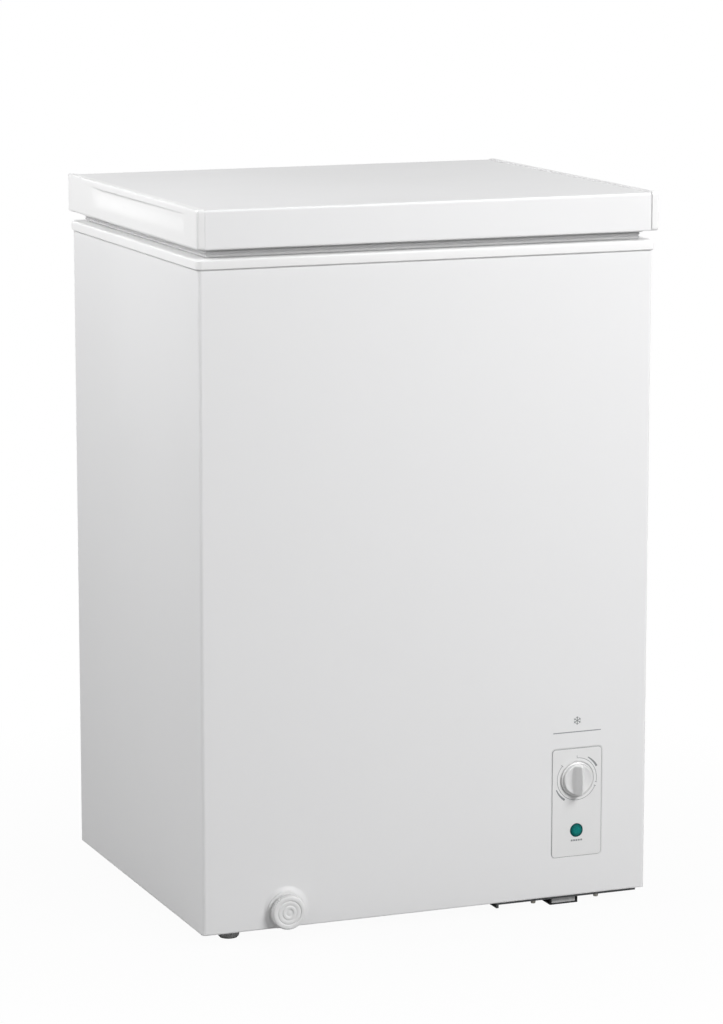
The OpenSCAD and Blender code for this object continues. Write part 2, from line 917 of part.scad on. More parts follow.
// ribbed foot that is turned by hand
module foot_pad(y) {
    pad_h = foot_h - 1.5;
    color("darkgray")
        difference() {
            union() {
                translate([x_foot, y, 1.5])
                    fluted(foot_r, pad_h - 1.5, 28, 1);
                rod_z(x_foot, y, 0, 1.5, foot_r - 1);
            }
            rod_z(x_foot, y, 2.7, pad_h + cut, stud_r + run_fit);
        }
}

// screws of the tray and of the grille
module case_screws() {
    color("gray") {
        for (x = [-tray_screw_x, tray_screw_x])
            translate([x_rail + x, y_front + tray_screw_in, z_tray0])
                rotate([180, 0, 0])
                    pan_screw(screw_r, screw_head_r, tray_screw_head_h, tray_t + sheet_t + 2);
        for (p = grille_screw_at)
            translate([p[0], y_foam1 + panel_t, p[1]])
                rotate([-90, 0, 0])
                    pan_screw(screw_r, screw_head_r, screw_head_h, grille_t + 3);
    }
}

// blocks that keep the freezer off the wall
module wall_spacers() {
    half = 12;
    z_mid = z_comp + 162;
    color("lightgray")
        for (x = [-x_in - 6, x_in + 6])
            difference() {
                block(
                    [x - half, y_foam1 + panel_t, z_mid - half],
                    [x + half, y_back + spacer_reach, z_mid + half]
                );
                rod_y(x, z_mid, y_back + 4, y_back + spacer_reach + cut, 7);
            }
}

// ---- back of the compartment ----

// slotted plate over the compartment
module rear_grille() {
    rows = 11;
    row_pitch = (comp_h - 70) / (rows - 1);
    y0 = y_foam1 + panel_t - grille_t;
    color("gainsboro")
        difference() {
            block(
                [x_comp + grille_in, y0, z_shell0 + sheet_t + grille_in],
                [x_side - corner_r - grille_in, y0 + grille_t, z_comp - grille_in]
            );
            for (i = [0:rows - 1], column = [0, 1])
                translate([x_comp + 26 + column * 76, y0 - cut, z_shell0 + 46 + i * row_pitch])
                    cube([62, grille_t + 2 * cut, 4.5]);
            for (p = grille_screw_at)
                rod_y(p[0], p[1], y0 - cut, y_back, screw_r);
            rod_y(x_gland, z_gland, y0 - cut, y_back, gland_r + gland_wall);
        }
}

// bush where the supply cord leaves
module cable_gland() {
    y0 = y_foam1 + panel_t - grille_t - 3;
    color("#222222")
        difference() {
            union() {
                rod_y(x_gland, z_gland, y0, y_back + 6, gland_r + gland_wall);
                rod_y(x_gland, z_gland, y_foam1 + panel_t, y_back + 2, gland_r + gland_wall + 2.5);
            }
            rod_y(x_gland, z_gland, y0 - cut, y_back + 7, gland_r);
        }
}

// ---- control panel ----

// face of the panel, with a round seat for the knob and a hole for the lamp
module control_fascia() {
    color("white")
        difference() {
            panel_opening(0, y_fascia, y_fascia_back);
            rod_y(x_panel, z_knob, y_fascia - cut, y_fascia + recess_depth, knob_r + 1.4);
            rod_y(x_panel, z_knob, y_fascia - cut, y_fascia_back + cut, shaft_r + 2.5);
            rod_y(x_panel, z_lamp, y_fascia - cut, y_fascia_back + cut, lamp_r + 0.1);
        }
}

// box behind the front sheet that holds the fascia, the thermostat and the lamp
module control_box() {
    ledge = 2.5;
    color("lightgray")
        difference() {
            union() {
                panel_opening(panel_gap + box_t, y_front + sheet_t, y_box_back);
                panel_opening(panel_gap + box_t + 4, y_front + sheet_t, y_front + sheet_t + box_t);
            }
            panel_opening(panel_gap, y_front, y_fascia_back);
            panel_opening(-ledge, y_front, y_fascia_back + 1.6 + cut);
            panel_opening(panel_gap, y_fascia_back + 1.6, y_box_back - box_t);
            rod_y(x_panel, z_knob, y_box_back - 2 * box_t, y_box_back + cut, sensor_r + coil_clear);
            rod_y(x_panel, z_lamp, y_box_back - 2 * box_t, y_box_back + cut, lamp_r - 3.3);
        }
}

// thermostat with the bush that guides the knob's shaft
module thermostat_body() {
    y0 = y_fascia_back + 8;
    color("silver")
        difference() {
            union() {
                block([x_panel - 17, y0, z_knob - 17], [x_panel + 17, y_box_back - box_t, z_knob + 17]);
                rod_y(x_panel, z_knob, y_fascia_back - 1, y0, shaft_r + 2.3);
            }
            rod_y(x_panel, z_knob, y_fascia_back - 2, y0 + 14, shaft_r + run_fit);
        }
}

// sensing tube from the thermostat up into the insulation beside the liner
module sensor_tube() {
    y_up = y_front + sensor_in;
    z_low = z_comp - 14;
    y_out = y_box_back + 8;
    color("peru") {
        rod_y(x_panel, z_knob, y_box_back - box_t, y_out, sensor_r);
        elbow(x_panel, y_out, z_knob, sensor_r);
        rod_z(x_panel, y_out, z_knob, z_low, sensor_r);
        elbow(x_panel, y_out, z_low, sensor_r);
        rod_x(y_out, z_low, x_drier, x_panel, sensor_r);
        elbow(x_drier, y_out, z_low, sensor_r);
        rod_y(x_drier, z_low, y_up, y_out, sensor_r);
        elbow(x_drier, y_up, z_low, sensor_r);
        rod_z(x_drier, y_up, z_low, z_sensor, sensor_r);
    }
}

// faceted lens of the power lamp
module lamp_lens() {
    color("teal")
        union() {
            rod_y(x_panel, z_lamp, y_fascia - 0.4, y_fascia_back + 2, lamp_r);
            translate([x_panel, y_fascia - 0.4, z_lamp])
                rotate([90, 0, 0])
                    cylinder(h = 2, r1 = lamp_r - 0.8, r2 = lamp_r - 3.2, $fn = 10);
        }
}

// holder of the lamp behind the lens
module lamp_holder() {
    color("whitesmoke")
        rod_y(x_panel, z_lamp, y_fascia_back + 2, y_box_back - box_t, lamp_r - 1.5);
}

// knob with a skirt, a raised disc and a grip across its middle
module thermostat_knob() {
    grip_r = knob_r - 2.8;
    y_disc = y_fascia - 6;
    y_tip = y_front - knob_reach;
    color("gainsboro")
        difference() {
            union() {
                translate([x_panel, y_skirt, z_knob])
                    rotate([90, 0, 0])
                        cylinder(h = y_skirt - y_disc - 1.2, r = knob_r);
                translate([x_panel, y_disc + 1.2, z_knob])
                    rotate([90, 0, 0])
                        cylinder(h = 1.2, r1 = knob_r, r2 = knob_r - 1.2);
                intersection() {
                    rod_y(x_panel, z_knob, y_tip, y_disc, grip_r);
                    translate([0, 0, z_knob - grip_r])
                        linear_extrude(2 * grip_r)
                            polygon([
                                [x_panel - grip_w / 2, y_disc],
                                [x_panel + grip_w / 2, y_disc],
                                [x_panel + grip_w / 2 - 2.4, y_tip],
                                [x_panel - grip_w / 2 + 2.4, y_tip]
                            ]);
                }
            }
            rod_y(x_panel, z_knob, y_disc - 6, y_skirt + cut, shaft_r + 0.02);
        }
}

// shaft between the knob and the thermostat
module thermostat_shaft() {
    color("silver")
        rod_y(x_panel, z_knob, y_fascia - 12, y_fascia_back + 20, shaft_r);
}

// ---- drain ----

// the drain tube's run: down from the cavity floor, then forward to the socket
module drain_path(r) {
    rod_z(x_drain, y_sump, z_drain, z_in0, r);
    rod_y(x_drain, z_drain, y_front + socket_depth, y_sump, r);
    elbow(x_drain, y_sump, z_drain, r);
}

// tube with a flange on the cavity floor
module drain_tube() {
    color("whitesmoke")
        difference() {
            union() {
                drain_path(drain_tube_r);
                rod_z(x_drain, y_sump, z_in0, z_in0 + 1.5, drain_tube_r + 6);
            }
            rod_z(x_drain, y_sump, z_drain, z_in0 + 2 * cut, drain_tube_r - drain_wall);
            rod_y(x_drain, z_drain, y_front, y_sump, drain_tube_r - drain_wall);
        }
}

// bush in the front sheet that guides the spigot
module drain_socket() {
    color("white")
        intersection() {
            difference() {
                union() {
                    rod_y(x_drain, z_drain, y_front, y_front + socket_depth, socket_r);
                    rod_y(x_drain, z_drain, y_front - socket_flange_t, y_front, socket_flange_r);
                }
                rod_y(x_drain, z_drain, y_front - 2 * cut, y_front + socket_depth - 2, spigot_r + run_fit);
                rod_y(
                    x_drain, z_drain, y_front, y_front + socket_depth + cut,
                    drain_tube_r - drain_wall
                );
            }
            block(
                [x_drain - socket_flange_r, y_front - 2 * cut, z_shell0],
                [x_drain + socket_flange_r, y_front + socket_depth, z_drain + socket_flange_r]
            );
        }
}

// hollow spigot with an outlet in its underside
module drain_spigot() {
    y_tip = y_cap_back - 5.6;
    color("white")
        difference() {
            rod_y(x_drain, z_drain, y_tip, y_front + socket_depth - 4, spigot_r);
            rod_y(x_drain, z_drain, y_front + 4, y_front + socket_depth, spigot_r - 2.2);
            block(
                [x_drain - 4, y_front + 6, z_drain - spigot_r - cut],
                [x_drain + 4, y_front + 16, z_drain]
            );
        }
}

// round cap with a fluted edge and raised rings on its face
module drain_cap() {
    y_face = y_front - drain_cap_reach;
    thickness = y_cap_back - y_face;
    color("white")
        difference() {
            translate([x_drain, y_cap_back, z_drain])
                rotate([90, 0, 0])
                    difference() {
                        fluted(drain_cap_r, thickness, 48, 0.7);
                        translate([0, 0, thickness - 1.2])
                            difference() {
                                cylinder(h = 2, r = 15);
                                translate([0, 0, -cut])
                                    cylinder(h = 4, r = 14);
                            }
                        translate([0, 0, thickness - 1.6])
                            difference() {
                                cylinder(h = 3, r = 12);
                                translate([0, 0, -cut])
                                    cylinder(h = 5, r = 8.5);
                            }
                        translate([0, 0, thickness - 1])
                            cylinder(h = 2, r = 4.5);
                    }
            rod_y(x_drain, z_drain, y_cap_back - 6, y_cap_back + cut, spigot_r + run_fit);
        }
}

// plug in the cavity floor, pulled up by its tab
module drain_plug() {
    head_r = drain_tube_r + 4;
    z_head = z_in0 + 1.5 + slide_clear;
    color("lightgray") {
        rod_z(x_drain, y_sump, z_in0 - 12, z_head, drain_tube_r - drain_wall - 0.1);
        rod_z(x_drain, y_sump, z_head, z_head + 3.5, head_r);
        block(
            [x_drain - 1.5, y_sump - 7, z_head + 3.5],
            [x_drain + 1.5, y_sump + 7, z_head + 14]
        );
    }
}

// ---- hinges ----

// plate and two ears, centred on x
module hinge_bracket(x) {
    y0 = y_foam1 + panel_t;
    web_top = z_shell1 - 4;
    color("silver")
        difference() {
            union() {
                block(
                    [x - hinge_w / 2, y0, z_bracket],
                    [x + hinge_w / 2, y0 + hinge_t, z_bracket + hinge_plate_h]
                );
                for (side = [-1, 1])
                    translate([x + side * (ear_in + hinge_t / 2) - hinge_t / 2, 0, 0])
                        rotate([90, 0, 90])
                            linear_extrude(hinge_t) {
                                polygon([
                                    [y0, z_bracket],
                                    [y0 + 8, z_bracket],
                                    [y_hinge + hinge_ear_r, web_top - 40],
                                    [y_hinge + hinge_ear_r, z_hinge],
                                    [y_hinge - hinge_ear_r, z_hinge],
                                    [y_hinge - hinge_ear_r, web_top],
                                    [y0, web_top]
                                ]);
                                translate([y_hinge, z_hinge])
                                    circle(hinge_ear_r);
                            }
            }
            rod_x(y_hinge, z_hinge, x - hinge_w, x + hinge_w, hinge_pin_r + 0.02);
            for (p = hinge_screw_at)
                rod_y(p[0], p[1], y0 - cut, y0 + hinge_t + cut, hinge_screw_r);
        }
}

// pins through the brackets' ears, with a head at each end
module hinge_pins() {
    color("gray")
        for (side = [-1, 1]) {
            rod_x(
                y_hinge, z_hinge, side * hinge_x - hinge_w / 2 - 1.5,
                side * hinge_x + hinge_w / 2 + 1.5, hinge_pin_r
            );
            for (end = [-hinge_w / 2 - 1.5, hinge_w / 2])
                rod_x(y_hinge, z_hinge, side * hinge_x + end, side * hinge_x + end + 1.5, hinge_pin_r + 2);
        }
}

// closed coils of the counterbalance springs, with a leg on the bracket
module hinge_springs() {
    wire_r = 0.9;
    coil_r = hinge_pin_r + 0.8 + wire_r;
    turns = 9;
    pitch = 2 * wire_r - 0.1;
    color("dimgray")
        for (side = [-1, 1])
            translate([side * hinge_x + 2.5, y_hinge, z_hinge]) {
                for (i = [0:turns - 1])
                    translate([wire_r + i * pitch, 0, 0])
                        rotate([0, 90, 0])
                            rotate_extrude()
                                translate([coil_r, 0])
                                    circle(wire_r);
                translate([wire_r, coil_r, -34])
                    cylinder(h = 34, r = wire_r - 0.1);
            }
}

// screws of both brackets
module hinge_screws() {
    color("silver")
        for (p = hinge_screw_at)
            translate([p[0], y_foam1 + panel_t + hinge_t, p[1]])
                rotate([-90, 0, 0])
                    pan_screw(hinge_screw_r, 4, 2.4, hinge_screw_len);
}

// plate on the lid's back with a knuckle round the pin
module hinge_leaf(x) {
    knuckle_w = ear_in - 1;
    color("silver")
        difference() {
            union() {
                block(
                    [x - leaf_plate_w / 2, y_lid1, z_leaf],
                    [x + leaf_plate_w / 2, y_lid1 + hinge_t, z_leaf + leaf_plate_h]
                );
                rod_x(y_hinge, z_hinge, x - ear_in + leaf_gap, x - ear_in + leaf_gap + knuckle_w, 6);
                block(
                    [x - ear_in + leaf_gap, y_lid1, z_hinge - 1],
                    [x - ear_in + leaf_gap + knuckle_w, y_hinge, z_hinge + 6]
                );
            }
            rod_x(y_hinge, z_hinge, x - hinge_w, x + hinge_w, hinge_pin_r + run_fit);
            for (p = leaf_screw_at)
                rod_y(p[0], p[1], y_lid1 - cut, y_lid1 + hinge_t + cut, hinge_screw_r);
        }
}

// screws of both leaves
module leaf_screws() {
    color("silver")
        for (p = leaf_screw_at)
            translate([p[0], y_lid1 + hinge_t, p[1]])
                rotate([-90, 0, 0])
                    pan_screw(hinge_screw_r, 4, 2.4, hinge_screw_len);
}

// ---- lid ----

// section of the lid in the YZ plane from z0 up, drawn in by d, with round upper corners
module lid_section(d, z0) {
    r = max(lid_bend_r - d, 0.5);
    y0 = y_lid0 + d;
    y1 = y_lid1 - d;
    z1 = z_lid1 - d;
    translate([y0, z0])
        square([y1 - y0, z1 - z0 - r]);
    translate([y0 + r, z0])
        square([y1 - y0 - 2 * r, z1 - z0]);
    for (y = [y0 + r, y1 - r])
        translate([y, z1 - r])
            circle(r);
}

// prism along X from x0 to x1 of a section drawn in the YZ plane
module along_x(x0, x1) {
    translate([x0, 0, 0])
        rotate([90, 0, 90])
            linear_extrude(x1 - x0)
                children();
}

// folded sheet: top, front and back, with flanges turned in below
module lid_skin() {
    color("white")
        difference() {
            along_x(-x_seam, x_seam)
                lid_section(0, z_lid0);
            difference() {
                along_x(-x_seam - cut, x_seam + cut)
                    lid_section(sheet_t, z_lid0 - cut);
                block(
                    [-x_lid, y_lid0, z_lid0 - 2 * cut],
                    [x_lid, y_lid0 + gasket_in, z_lid0 + sheet_t]
                );
                block(
                    [-x_lid, y_lid1 - gasket_in, z_lid0 - 2 * cut],
                    [x_lid, y_lid1, z_lid0 + sheet_t]
                );
            }
            for (p = leaf_screw_at)
                rod_y(p[0], p[1], y_lid1 - 2 * cut, y_lid1 + cut, hinge_screw_r);
        }
}

// slice of the finger recess: a wedge that is deepest under the lip
module scoop_slice(y, depth) {
    translate([0, y, 0])
        rotate([90, 0, 0])
            linear_extrude(0.01)
                polygon([
                    [-x_lid - cut, z_lid0 + scoop_top],
                    [-x_lid + depth, z_lid0 + scoop_top],
                    [-x_lid + depth * 0.8, z_lid0 + scoop_top - scoop_h * 0.35],
                    [-x_lid, z_lid0 + scoop_top - scoop_h],
                    [-x_lid - cut, z_lid0 + scoop_top - scoop_h]
                ]);
}

// finger recess of the left cap
module scoop() {
    y1 = y_scoop + scoop_run;
    y2 = y1 + scoop_grip;
    hull() {
        scoop_slice(y_scoop, scoop_front_depth);
        scoop_slice(y1, scoop_grip_depth);
    }
    hull() {
        scoop_slice(y1, scoop_grip_depth);
        scoop_slice(y2, scoop_grip_depth);
    }
    hull() {
        scoop_slice(y2, scoop_grip_depth);
        scoop_slice(y2 + scoop_fade, 0.3);
    }
}

// left end cap: a rim flush with the lid's edge and a part that fits inside the sheet
module lid_cap() {
    rim_z1 = z_lid1 + cap_proud;
    rim_y0 = y_lid0 - cap_proud;
    rim_y1 = y_lid1;
    inner = sheet_t + 0.2;
    difference() {
        union() {
            intersection() {
                translate([0, 0, z_lid0])
                    linear_extrude(lid_h + cap_proud)
                        union() {
                            rrect(-x_lid, -x_lid + 4 * cap_r, rim_y0, rim_y1, cap_r);
                            translate([-x_lid + 2 * cap_r, rim_y0])
                                square([2 * cap_r, rim_y1 - rim_y0]);
                        }
                translate([0, rim_y1, 0])
                    rotate([90, 0, 0])
                        linear_extrude(rim_y1 - rim_y0)
                            union() {
                                rrect(-x_lid, -x_lid + 4 * cap_r, z_lid0, rim_z1, cap_r / 2);
                                translate([-x_lid + 2 * cap_r, z_lid0])
                                    square([2 * cap_r, rim_z1 - z_lid0]);
                            }
                along_x(-x_lid, -x_seam)
                    rrect(rim_y0, rim_y1, z_lid0, rim_z1, lid_bend_r);
            }
            along_x(-x_seam - 0.5, -x_cap_in)
                lid_section(inner, z_lid0 + sheet_t + 0.1);
        }
        scoop();
    }
}

module lid_cap_left() {
    color("white")
        lid_cap();
}

module lid_cap_right() {
    color("white")
        mirror([1, 0, 0])
            lid_cap();
}

// plate that closes the lid below, with a hollow middle that drops into the cavity
module lid_liner() {
    x1 = x_cap_in - 0.1;
    y0 = y_lid0 + gasket_in + 0.2;
    y1 = y_lid1 - gasket_in - 0.2;
    color("whitesmoke")
        difference() {
            union() {
                block([-x1, y0, z_lid0], [x1, y1, z_lid0 + lid_liner_t]);
                cavity_prism(-plug_gap, z_lid0 - plug_drop, z_lid0 + cut);
            }
            cavity_prism(
                -plug_gap - lid_liner_t, z_lid0 - plug_drop + lid_liner_t,
                z_lid0 + lid_liner_t + cut
            );
        }
}

// foam that fills the lid
module lid_foam() {
    y_gap = max(lid_bend_r, sheet_t) + 0.5;
    color("khaki")
        difference() {
            union() {
                block(
                    [-x_cap_in + 0.1, y_lid0 + y_gap, z_lid0 + lid_liner_t],
                    [x_cap_in - 0.1, y_lid1 - y_gap, z_lid1 - sheet_t]
                );
                cavity_prism(
                    -plug_gap - lid_liner_t, z_lid0 - plug_drop + lid_liner_t,
                    z_lid0 + lid_liner_t + cut
                );
            }
            for (p = leaf_screw_at)
                rod_y(p[0], p[1], y_lid1 - 8, y_lid1, hinge_screw_r);
        }
}

// one level of the gasket, drawn in by d from the lid's edge
module gasket_ring(d, z0, z1) {
    inside = gasket_in + gasket_w;
    translate([0, 0, z0])
        linear_extrude(z1 - z0)
            difference() {
                rrect(-x_lid + d, x_lid - d, y_lid0 + d, y_lid1 - d, 6);
                rrect(-x_lid + inside, x_lid - inside, y_lid0 + inside, y_lid1 - inside, 4);
            }
}

// gasket: a flange on top and ribbed bellows below it
module lid_gasket() {
    flange_h = 2.4;
    z0 = z_collar1 + gasket_clear;
    z1 = z_lid0 - flange_h;
    step_h = (z1 - z0) / (2 * gasket_ribs - 1);
    color("dimgray") {
        gasket_ring(gasket_in, z1, z_lid0);
        for (i = [0:gasket_ribs - 1])
            gasket_ring(gasket_in + bellows_in - 1, z0 + 2 * i * step_h, z0 + (2 * i + 1) * step_h);
        gasket_ring(gasket_in + bellows_in, z0, z1);
    }
}

// ---- basket ----

// wire basket that hangs on the collar's ledges by its two end bars
module wire_basket() {
    x0 = x_basket0 + leg_in;
    x1 = x_basket1 - leg_in;
    y0 = y_basket0 + leg_in;
    y1 = y_basket1 - leg_in;
    ring_out = 2 * mesh_wire_r - weld;
    color("white") {
        wire_loop(x_basket0, x_basket1, y_basket0, y_basket1, z_rim, frame_wire_r, basket_r);
        for (x = [x_basket0, x_basket1])
            rod_y(x, z_hanger, y_in0 - ledge_w + 4, y_in1 + ledge_w - 4, frame_wire_r);
        for (i = [1:basket_across])
            translate([x0 + (x1 - x0) * i / (basket_across + 1), 0, 0])
                rotate([0, 0, 90])
                    wire_u(y0, y1, z_basket, z_rim + weld, mesh_wire_r, mesh_r);
        for (i = [1:basket_along])
            translate([0, y0 + (y1 - y0) * i / (basket_along + 1), 0])
                wire_u(x0, x1, z_basket + ring_out, z_rim + weld, mesh_wire_r, mesh_r);
        for (level = [1, 2])
            wire_loop(
                x0 - ring_out, x1 + ring_out, y0 - ring_out, y1 + ring_out,
                z_basket + basket_h * level / 3, mesh_wire_r, basket_r
            );
    }
}

outer_shell();
back_panel();
bottom_panel();
insulation_foam();
inner_liner();
compartment_shield();
top_collar();
evaporator_coil();
condenser_coil();
drain_tube();
drain_socket();
base_tray();
support_rail();
rail_pad();
foot_inserts();
compressor_can();
compressor_mount();
compressor_grommets();
compressor_bolts();
start_relay();
filter_drier();
capillary_tube();
suction_pipe();
discharge_pipe();
liquid_pipe();
rear_grille();
case_screws();
cable_gland();
control_fascia();
control_box();
thermostat_body();
sensor_tube();
lamp_lens();
lamp_holder();
hinge_bracket(-hinge_x);  // hinge_bracket_left
hinge_bracket(hinge_x);  // hinge_bracket_right
hinge_pins();
hinge_springs();
hinge_screws();
wall_spacers();
lid_skin();
lid_cap_left();
lid_cap_right();
lid_foam();
lid_liner();
lid_gasket();
hinge_leaf(-hinge_x);  // hinge_leaf_left
hinge_leaf(hinge_x);  // hinge_leaf_right
leaf_screws();
thermostat_knob();
thermostat_shaft();
drain_spigot();
drain_cap();
drain_plug();
wire_basket();
foot_stud(y_feet[0]);  // foot_stud_front
foot_stud(y_feet[1]);  // foot_stud_rear
foot_pad(y_feet[0]);  // foot_pad_front
foot_pad(y_feet[1]);  // foot_pad_rear
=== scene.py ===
import math

import bmesh
import bpy
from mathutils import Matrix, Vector


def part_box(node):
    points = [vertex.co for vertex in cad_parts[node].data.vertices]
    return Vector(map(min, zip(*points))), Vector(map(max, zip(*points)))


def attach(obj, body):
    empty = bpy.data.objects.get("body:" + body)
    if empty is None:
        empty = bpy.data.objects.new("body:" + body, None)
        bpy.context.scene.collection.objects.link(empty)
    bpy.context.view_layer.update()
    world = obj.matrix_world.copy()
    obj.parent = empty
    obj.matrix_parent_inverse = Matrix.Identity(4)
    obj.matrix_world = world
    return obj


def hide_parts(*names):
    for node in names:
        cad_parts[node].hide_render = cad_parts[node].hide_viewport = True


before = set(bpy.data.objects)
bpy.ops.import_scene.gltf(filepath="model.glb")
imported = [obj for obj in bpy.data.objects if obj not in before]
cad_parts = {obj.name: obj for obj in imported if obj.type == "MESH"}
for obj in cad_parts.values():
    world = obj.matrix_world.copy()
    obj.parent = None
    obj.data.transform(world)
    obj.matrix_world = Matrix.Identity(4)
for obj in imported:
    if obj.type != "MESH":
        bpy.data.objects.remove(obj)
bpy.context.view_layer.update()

# ---- outer shell ----
# Pre-painted steel sheet, roll-formed round the front and both sides in one piece. The satin
# white film has a very fine orange peel. The foam blown in behind the sheet holds it.


def add(tree, kind, sockets=None, **settings):
    """A node of that kind; a socket's value is a number, a colour or another node's output."""
    node = tree.nodes.new(kind)
    for key, value in settings.items():
        setattr(node, key, value)
    for key, value in (sockets or {}).items():
        if isinstance(value, bpy.types.NodeSocket):
            tree.links.new(value, node.inputs[key])
        else:
            node.inputs[key].default_value = value
    return node


def effect(name, inputs, outputs):
    """An empty node group: its tree, the sockets of its inputs, and its output node."""
    tree = bpy.data.node_groups.new(name, "ShaderNodeTree")
    for label, value in inputs.items():
        kind = "NodeSocketVector" if isinstance(value, tuple) else "NodeSocketFloat"
        tree.interface.new_socket(label, in_out="INPUT", socket_type=kind).default_value = value
    for label, kind in outputs.items():
        tree.interface.new_socket(label, in_out="OUTPUT", socket_type=kind)
    given = tree.nodes.new("NodeGroupInput")
    return tree, given.outputs, tree.nodes.new("NodeGroupOutput")


def finish_of(name, colour, roughness, **fixed):
    """A material: its node tree and its shader, with what is the same all over set on it."""
    material = bpy.data.materials.new(name)
    material.use_nodes = True
    shader = material.node_tree.nodes["Principled BSDF"]
    shader.inputs["Base Color"].default_value = (*colour, 1)
    shader.inputs["Roughness"].default_value = roughness
    for key, value in fixed.items():
        shader.inputs[key.replace("_", " ")].default_value = value
    return material, material.node_tree, shader


def dress(material, *names):
    """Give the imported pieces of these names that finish."""
    for name in names:
        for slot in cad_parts[name].material_slots:
            slot.material = material


# soft relief: fine lumps in a film or a moulding, over edges that are slightly round
soft_relief, given, out = effect(
    "soft relief",
    {"Lump Scale": 900.0, "Lump Height": 0.00002, "Edge Radius": 0.001},
    {"Normal": "NodeSocketVector"},
)
place = add(soft_relief, "ShaderNodeTexCoord").outputs["Object"]
lumps = add(soft_relief, "ShaderNodeTexNoise", {"Vector": place, "Scale": given["Lump Scale"], "Detail": 3})
edge = add(soft_relief, "ShaderNodeBevel", {"Radius": given["Edge Radius"]}, samples=4)
bump = add(soft_relief, "ShaderNodeBump", {
    "Distance": given["Lump Height"], "Height": lumps.outputs[0], "Normal": edge.outputs[0]})
soft_relief.links.new(bump.outputs[0], out.inputs["Normal"])

# handling: broad, faint clouds where hands and cloths have been, and a little settled dust
handling, given, out = effect(
    "handling",
    {"Dust": 0.3},
    {"Cloud": "NodeSocketFloat", "Dust": "NodeSocketFloat"},
)
place = add(handling, "ShaderNodeTexCoord").outputs["Object"]
cloud = add(handling, "ShaderNodeTexNoise", {"Vector": place, "Scale": 6, "Detail": 5})
speck = add(handling, "ShaderNodeTexNoise", {"Vector": place, "Scale": 260, "Detail": 2})
fine = add(handling, "ShaderNodeMapRange", {"Value": speck.outputs[0], "From Min": 0.55, "From Max": 0.85})
facing = add(handling, "ShaderNodeNewGeometry").outputs["Normal"]
upward = add(handling, "ShaderNodeSeparateXYZ", {0: facing}).outputs["Z"]
settled = add(
    handling, "ShaderNodeMath", {0: upward, 1: fine.outputs[0]}, operation="MULTIPLY", use_clamp=True)
amount = add(handling, "ShaderNodeMath", {0: settled.outputs[0], 1: given["Dust"]}, operation="MULTIPLY")
handling.links.new(cloud.outputs[0], out.inputs["Cloud"])
handling.links.new(amount.outputs[0], out.inputs["Dust"])


def smooth_coating(
        name, light, dark, dull, glossy, lump_scale, lump_height, edge_radius, dust=0.3, **fixed):
    """Paint or moulded plastic: clouds move its colour and gloss a little, and dust lies on top."""
    material, tree, shader = finish_of(name, light, dull, **fixed)
    marks = add(tree, "ShaderNodeGroup", {"Dust": dust}, node_tree=handling)
    tone = add(tree, "ShaderNodeMix", {
        0: marks.outputs["Cloud"], 6: (*light, 1), 7: (*dark, 1)}, data_type="RGBA")
    dusty = add(tree, "ShaderNodeMix", {
        0: marks.outputs["Dust"], 6: tone.outputs[2], 7: (0.62, 0.60, 0.56, 1)}, data_type="RGBA")
    gloss = add(tree, "ShaderNodeMapRange", {
        "Value": marks.outputs["Cloud"], "From Min": 0.3, "From Max": 0.7,
        "To Min": glossy, "To Max": dull})
    relief = add(tree, "ShaderNodeGroup", {
        "Lump Scale": lump_scale, "Lump Height": lump_height, "Edge Radius": edge_radius},
        node_tree=soft_relief)
    tree.links.new(dusty.outputs[2], shader.inputs["Base Color"])
    tree.links.new(gloss.outputs[0], shader.inputs["Roughness"])
    tree.links.new(relief.outputs[0], shader.inputs["Normal"])
    return material


def white_paint(name):
    """The white paint film of the shell and of the lid."""
    return smooth_coating(
        name, (0.83, 0.83, 0.835), (0.805, 0.805, 0.81), 0.42, 0.34, 700, 0.00003, 0.003,
        dust=0.06, Coat_Weight=0.12, Coat_Roughness=0.25)


# the sheet is pressed out into a soft bead round the drain hole
shell_paint = white_paint("white paint on the shell")
drain_low, drain_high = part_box("drain_socket")
bead_radius = (drain_high.x - drain_low.x) / 2
bead_height = 0.0021
tree = shell_paint.node_tree
shader = tree.nodes["Principled BSDF"]
film = shader.inputs["Normal"].links[0].from_socket
place = add(tree, "ShaderNodeTexCoord").outputs["Object"]
flat = add(tree, "ShaderNodeVectorMath", {0: place, 1: (1, 0, 1)}, operation="MULTIPLY")
away = add(tree, "ShaderNodeVectorMath", {
    0: flat.outputs[0], 1: ((drain_low.x + drain_high.x) / 2, 0, (drain_low.z + drain_high.z) / 2)},
    operation="DISTANCE")
mound = add(tree, "ShaderNodeMapRange", {
    "Value": away.outputs["Value"], "From Min": bead_radius - 0.002, "From Max": bead_radius + 0.0055,
    "To Min": 1.0, "To Max": 0.0}, interpolation_type="SMOOTHSTEP")
bead = add(tree, "ShaderNodeBump", {"Distance": bead_height, "Height": mound.outputs[0], "Normal": film})
tree.links.new(bead.outputs[0], shader.inputs["Normal"])
dress(shell_paint, "outer_shell")

# ---- back panel, bottom panel and compartment shield ----
# Hot-dip galvanised steel sheet, cut and folded, closing the foam space behind and below.
# The zinc has frozen in large feathery spangles, each catching the light its own way.

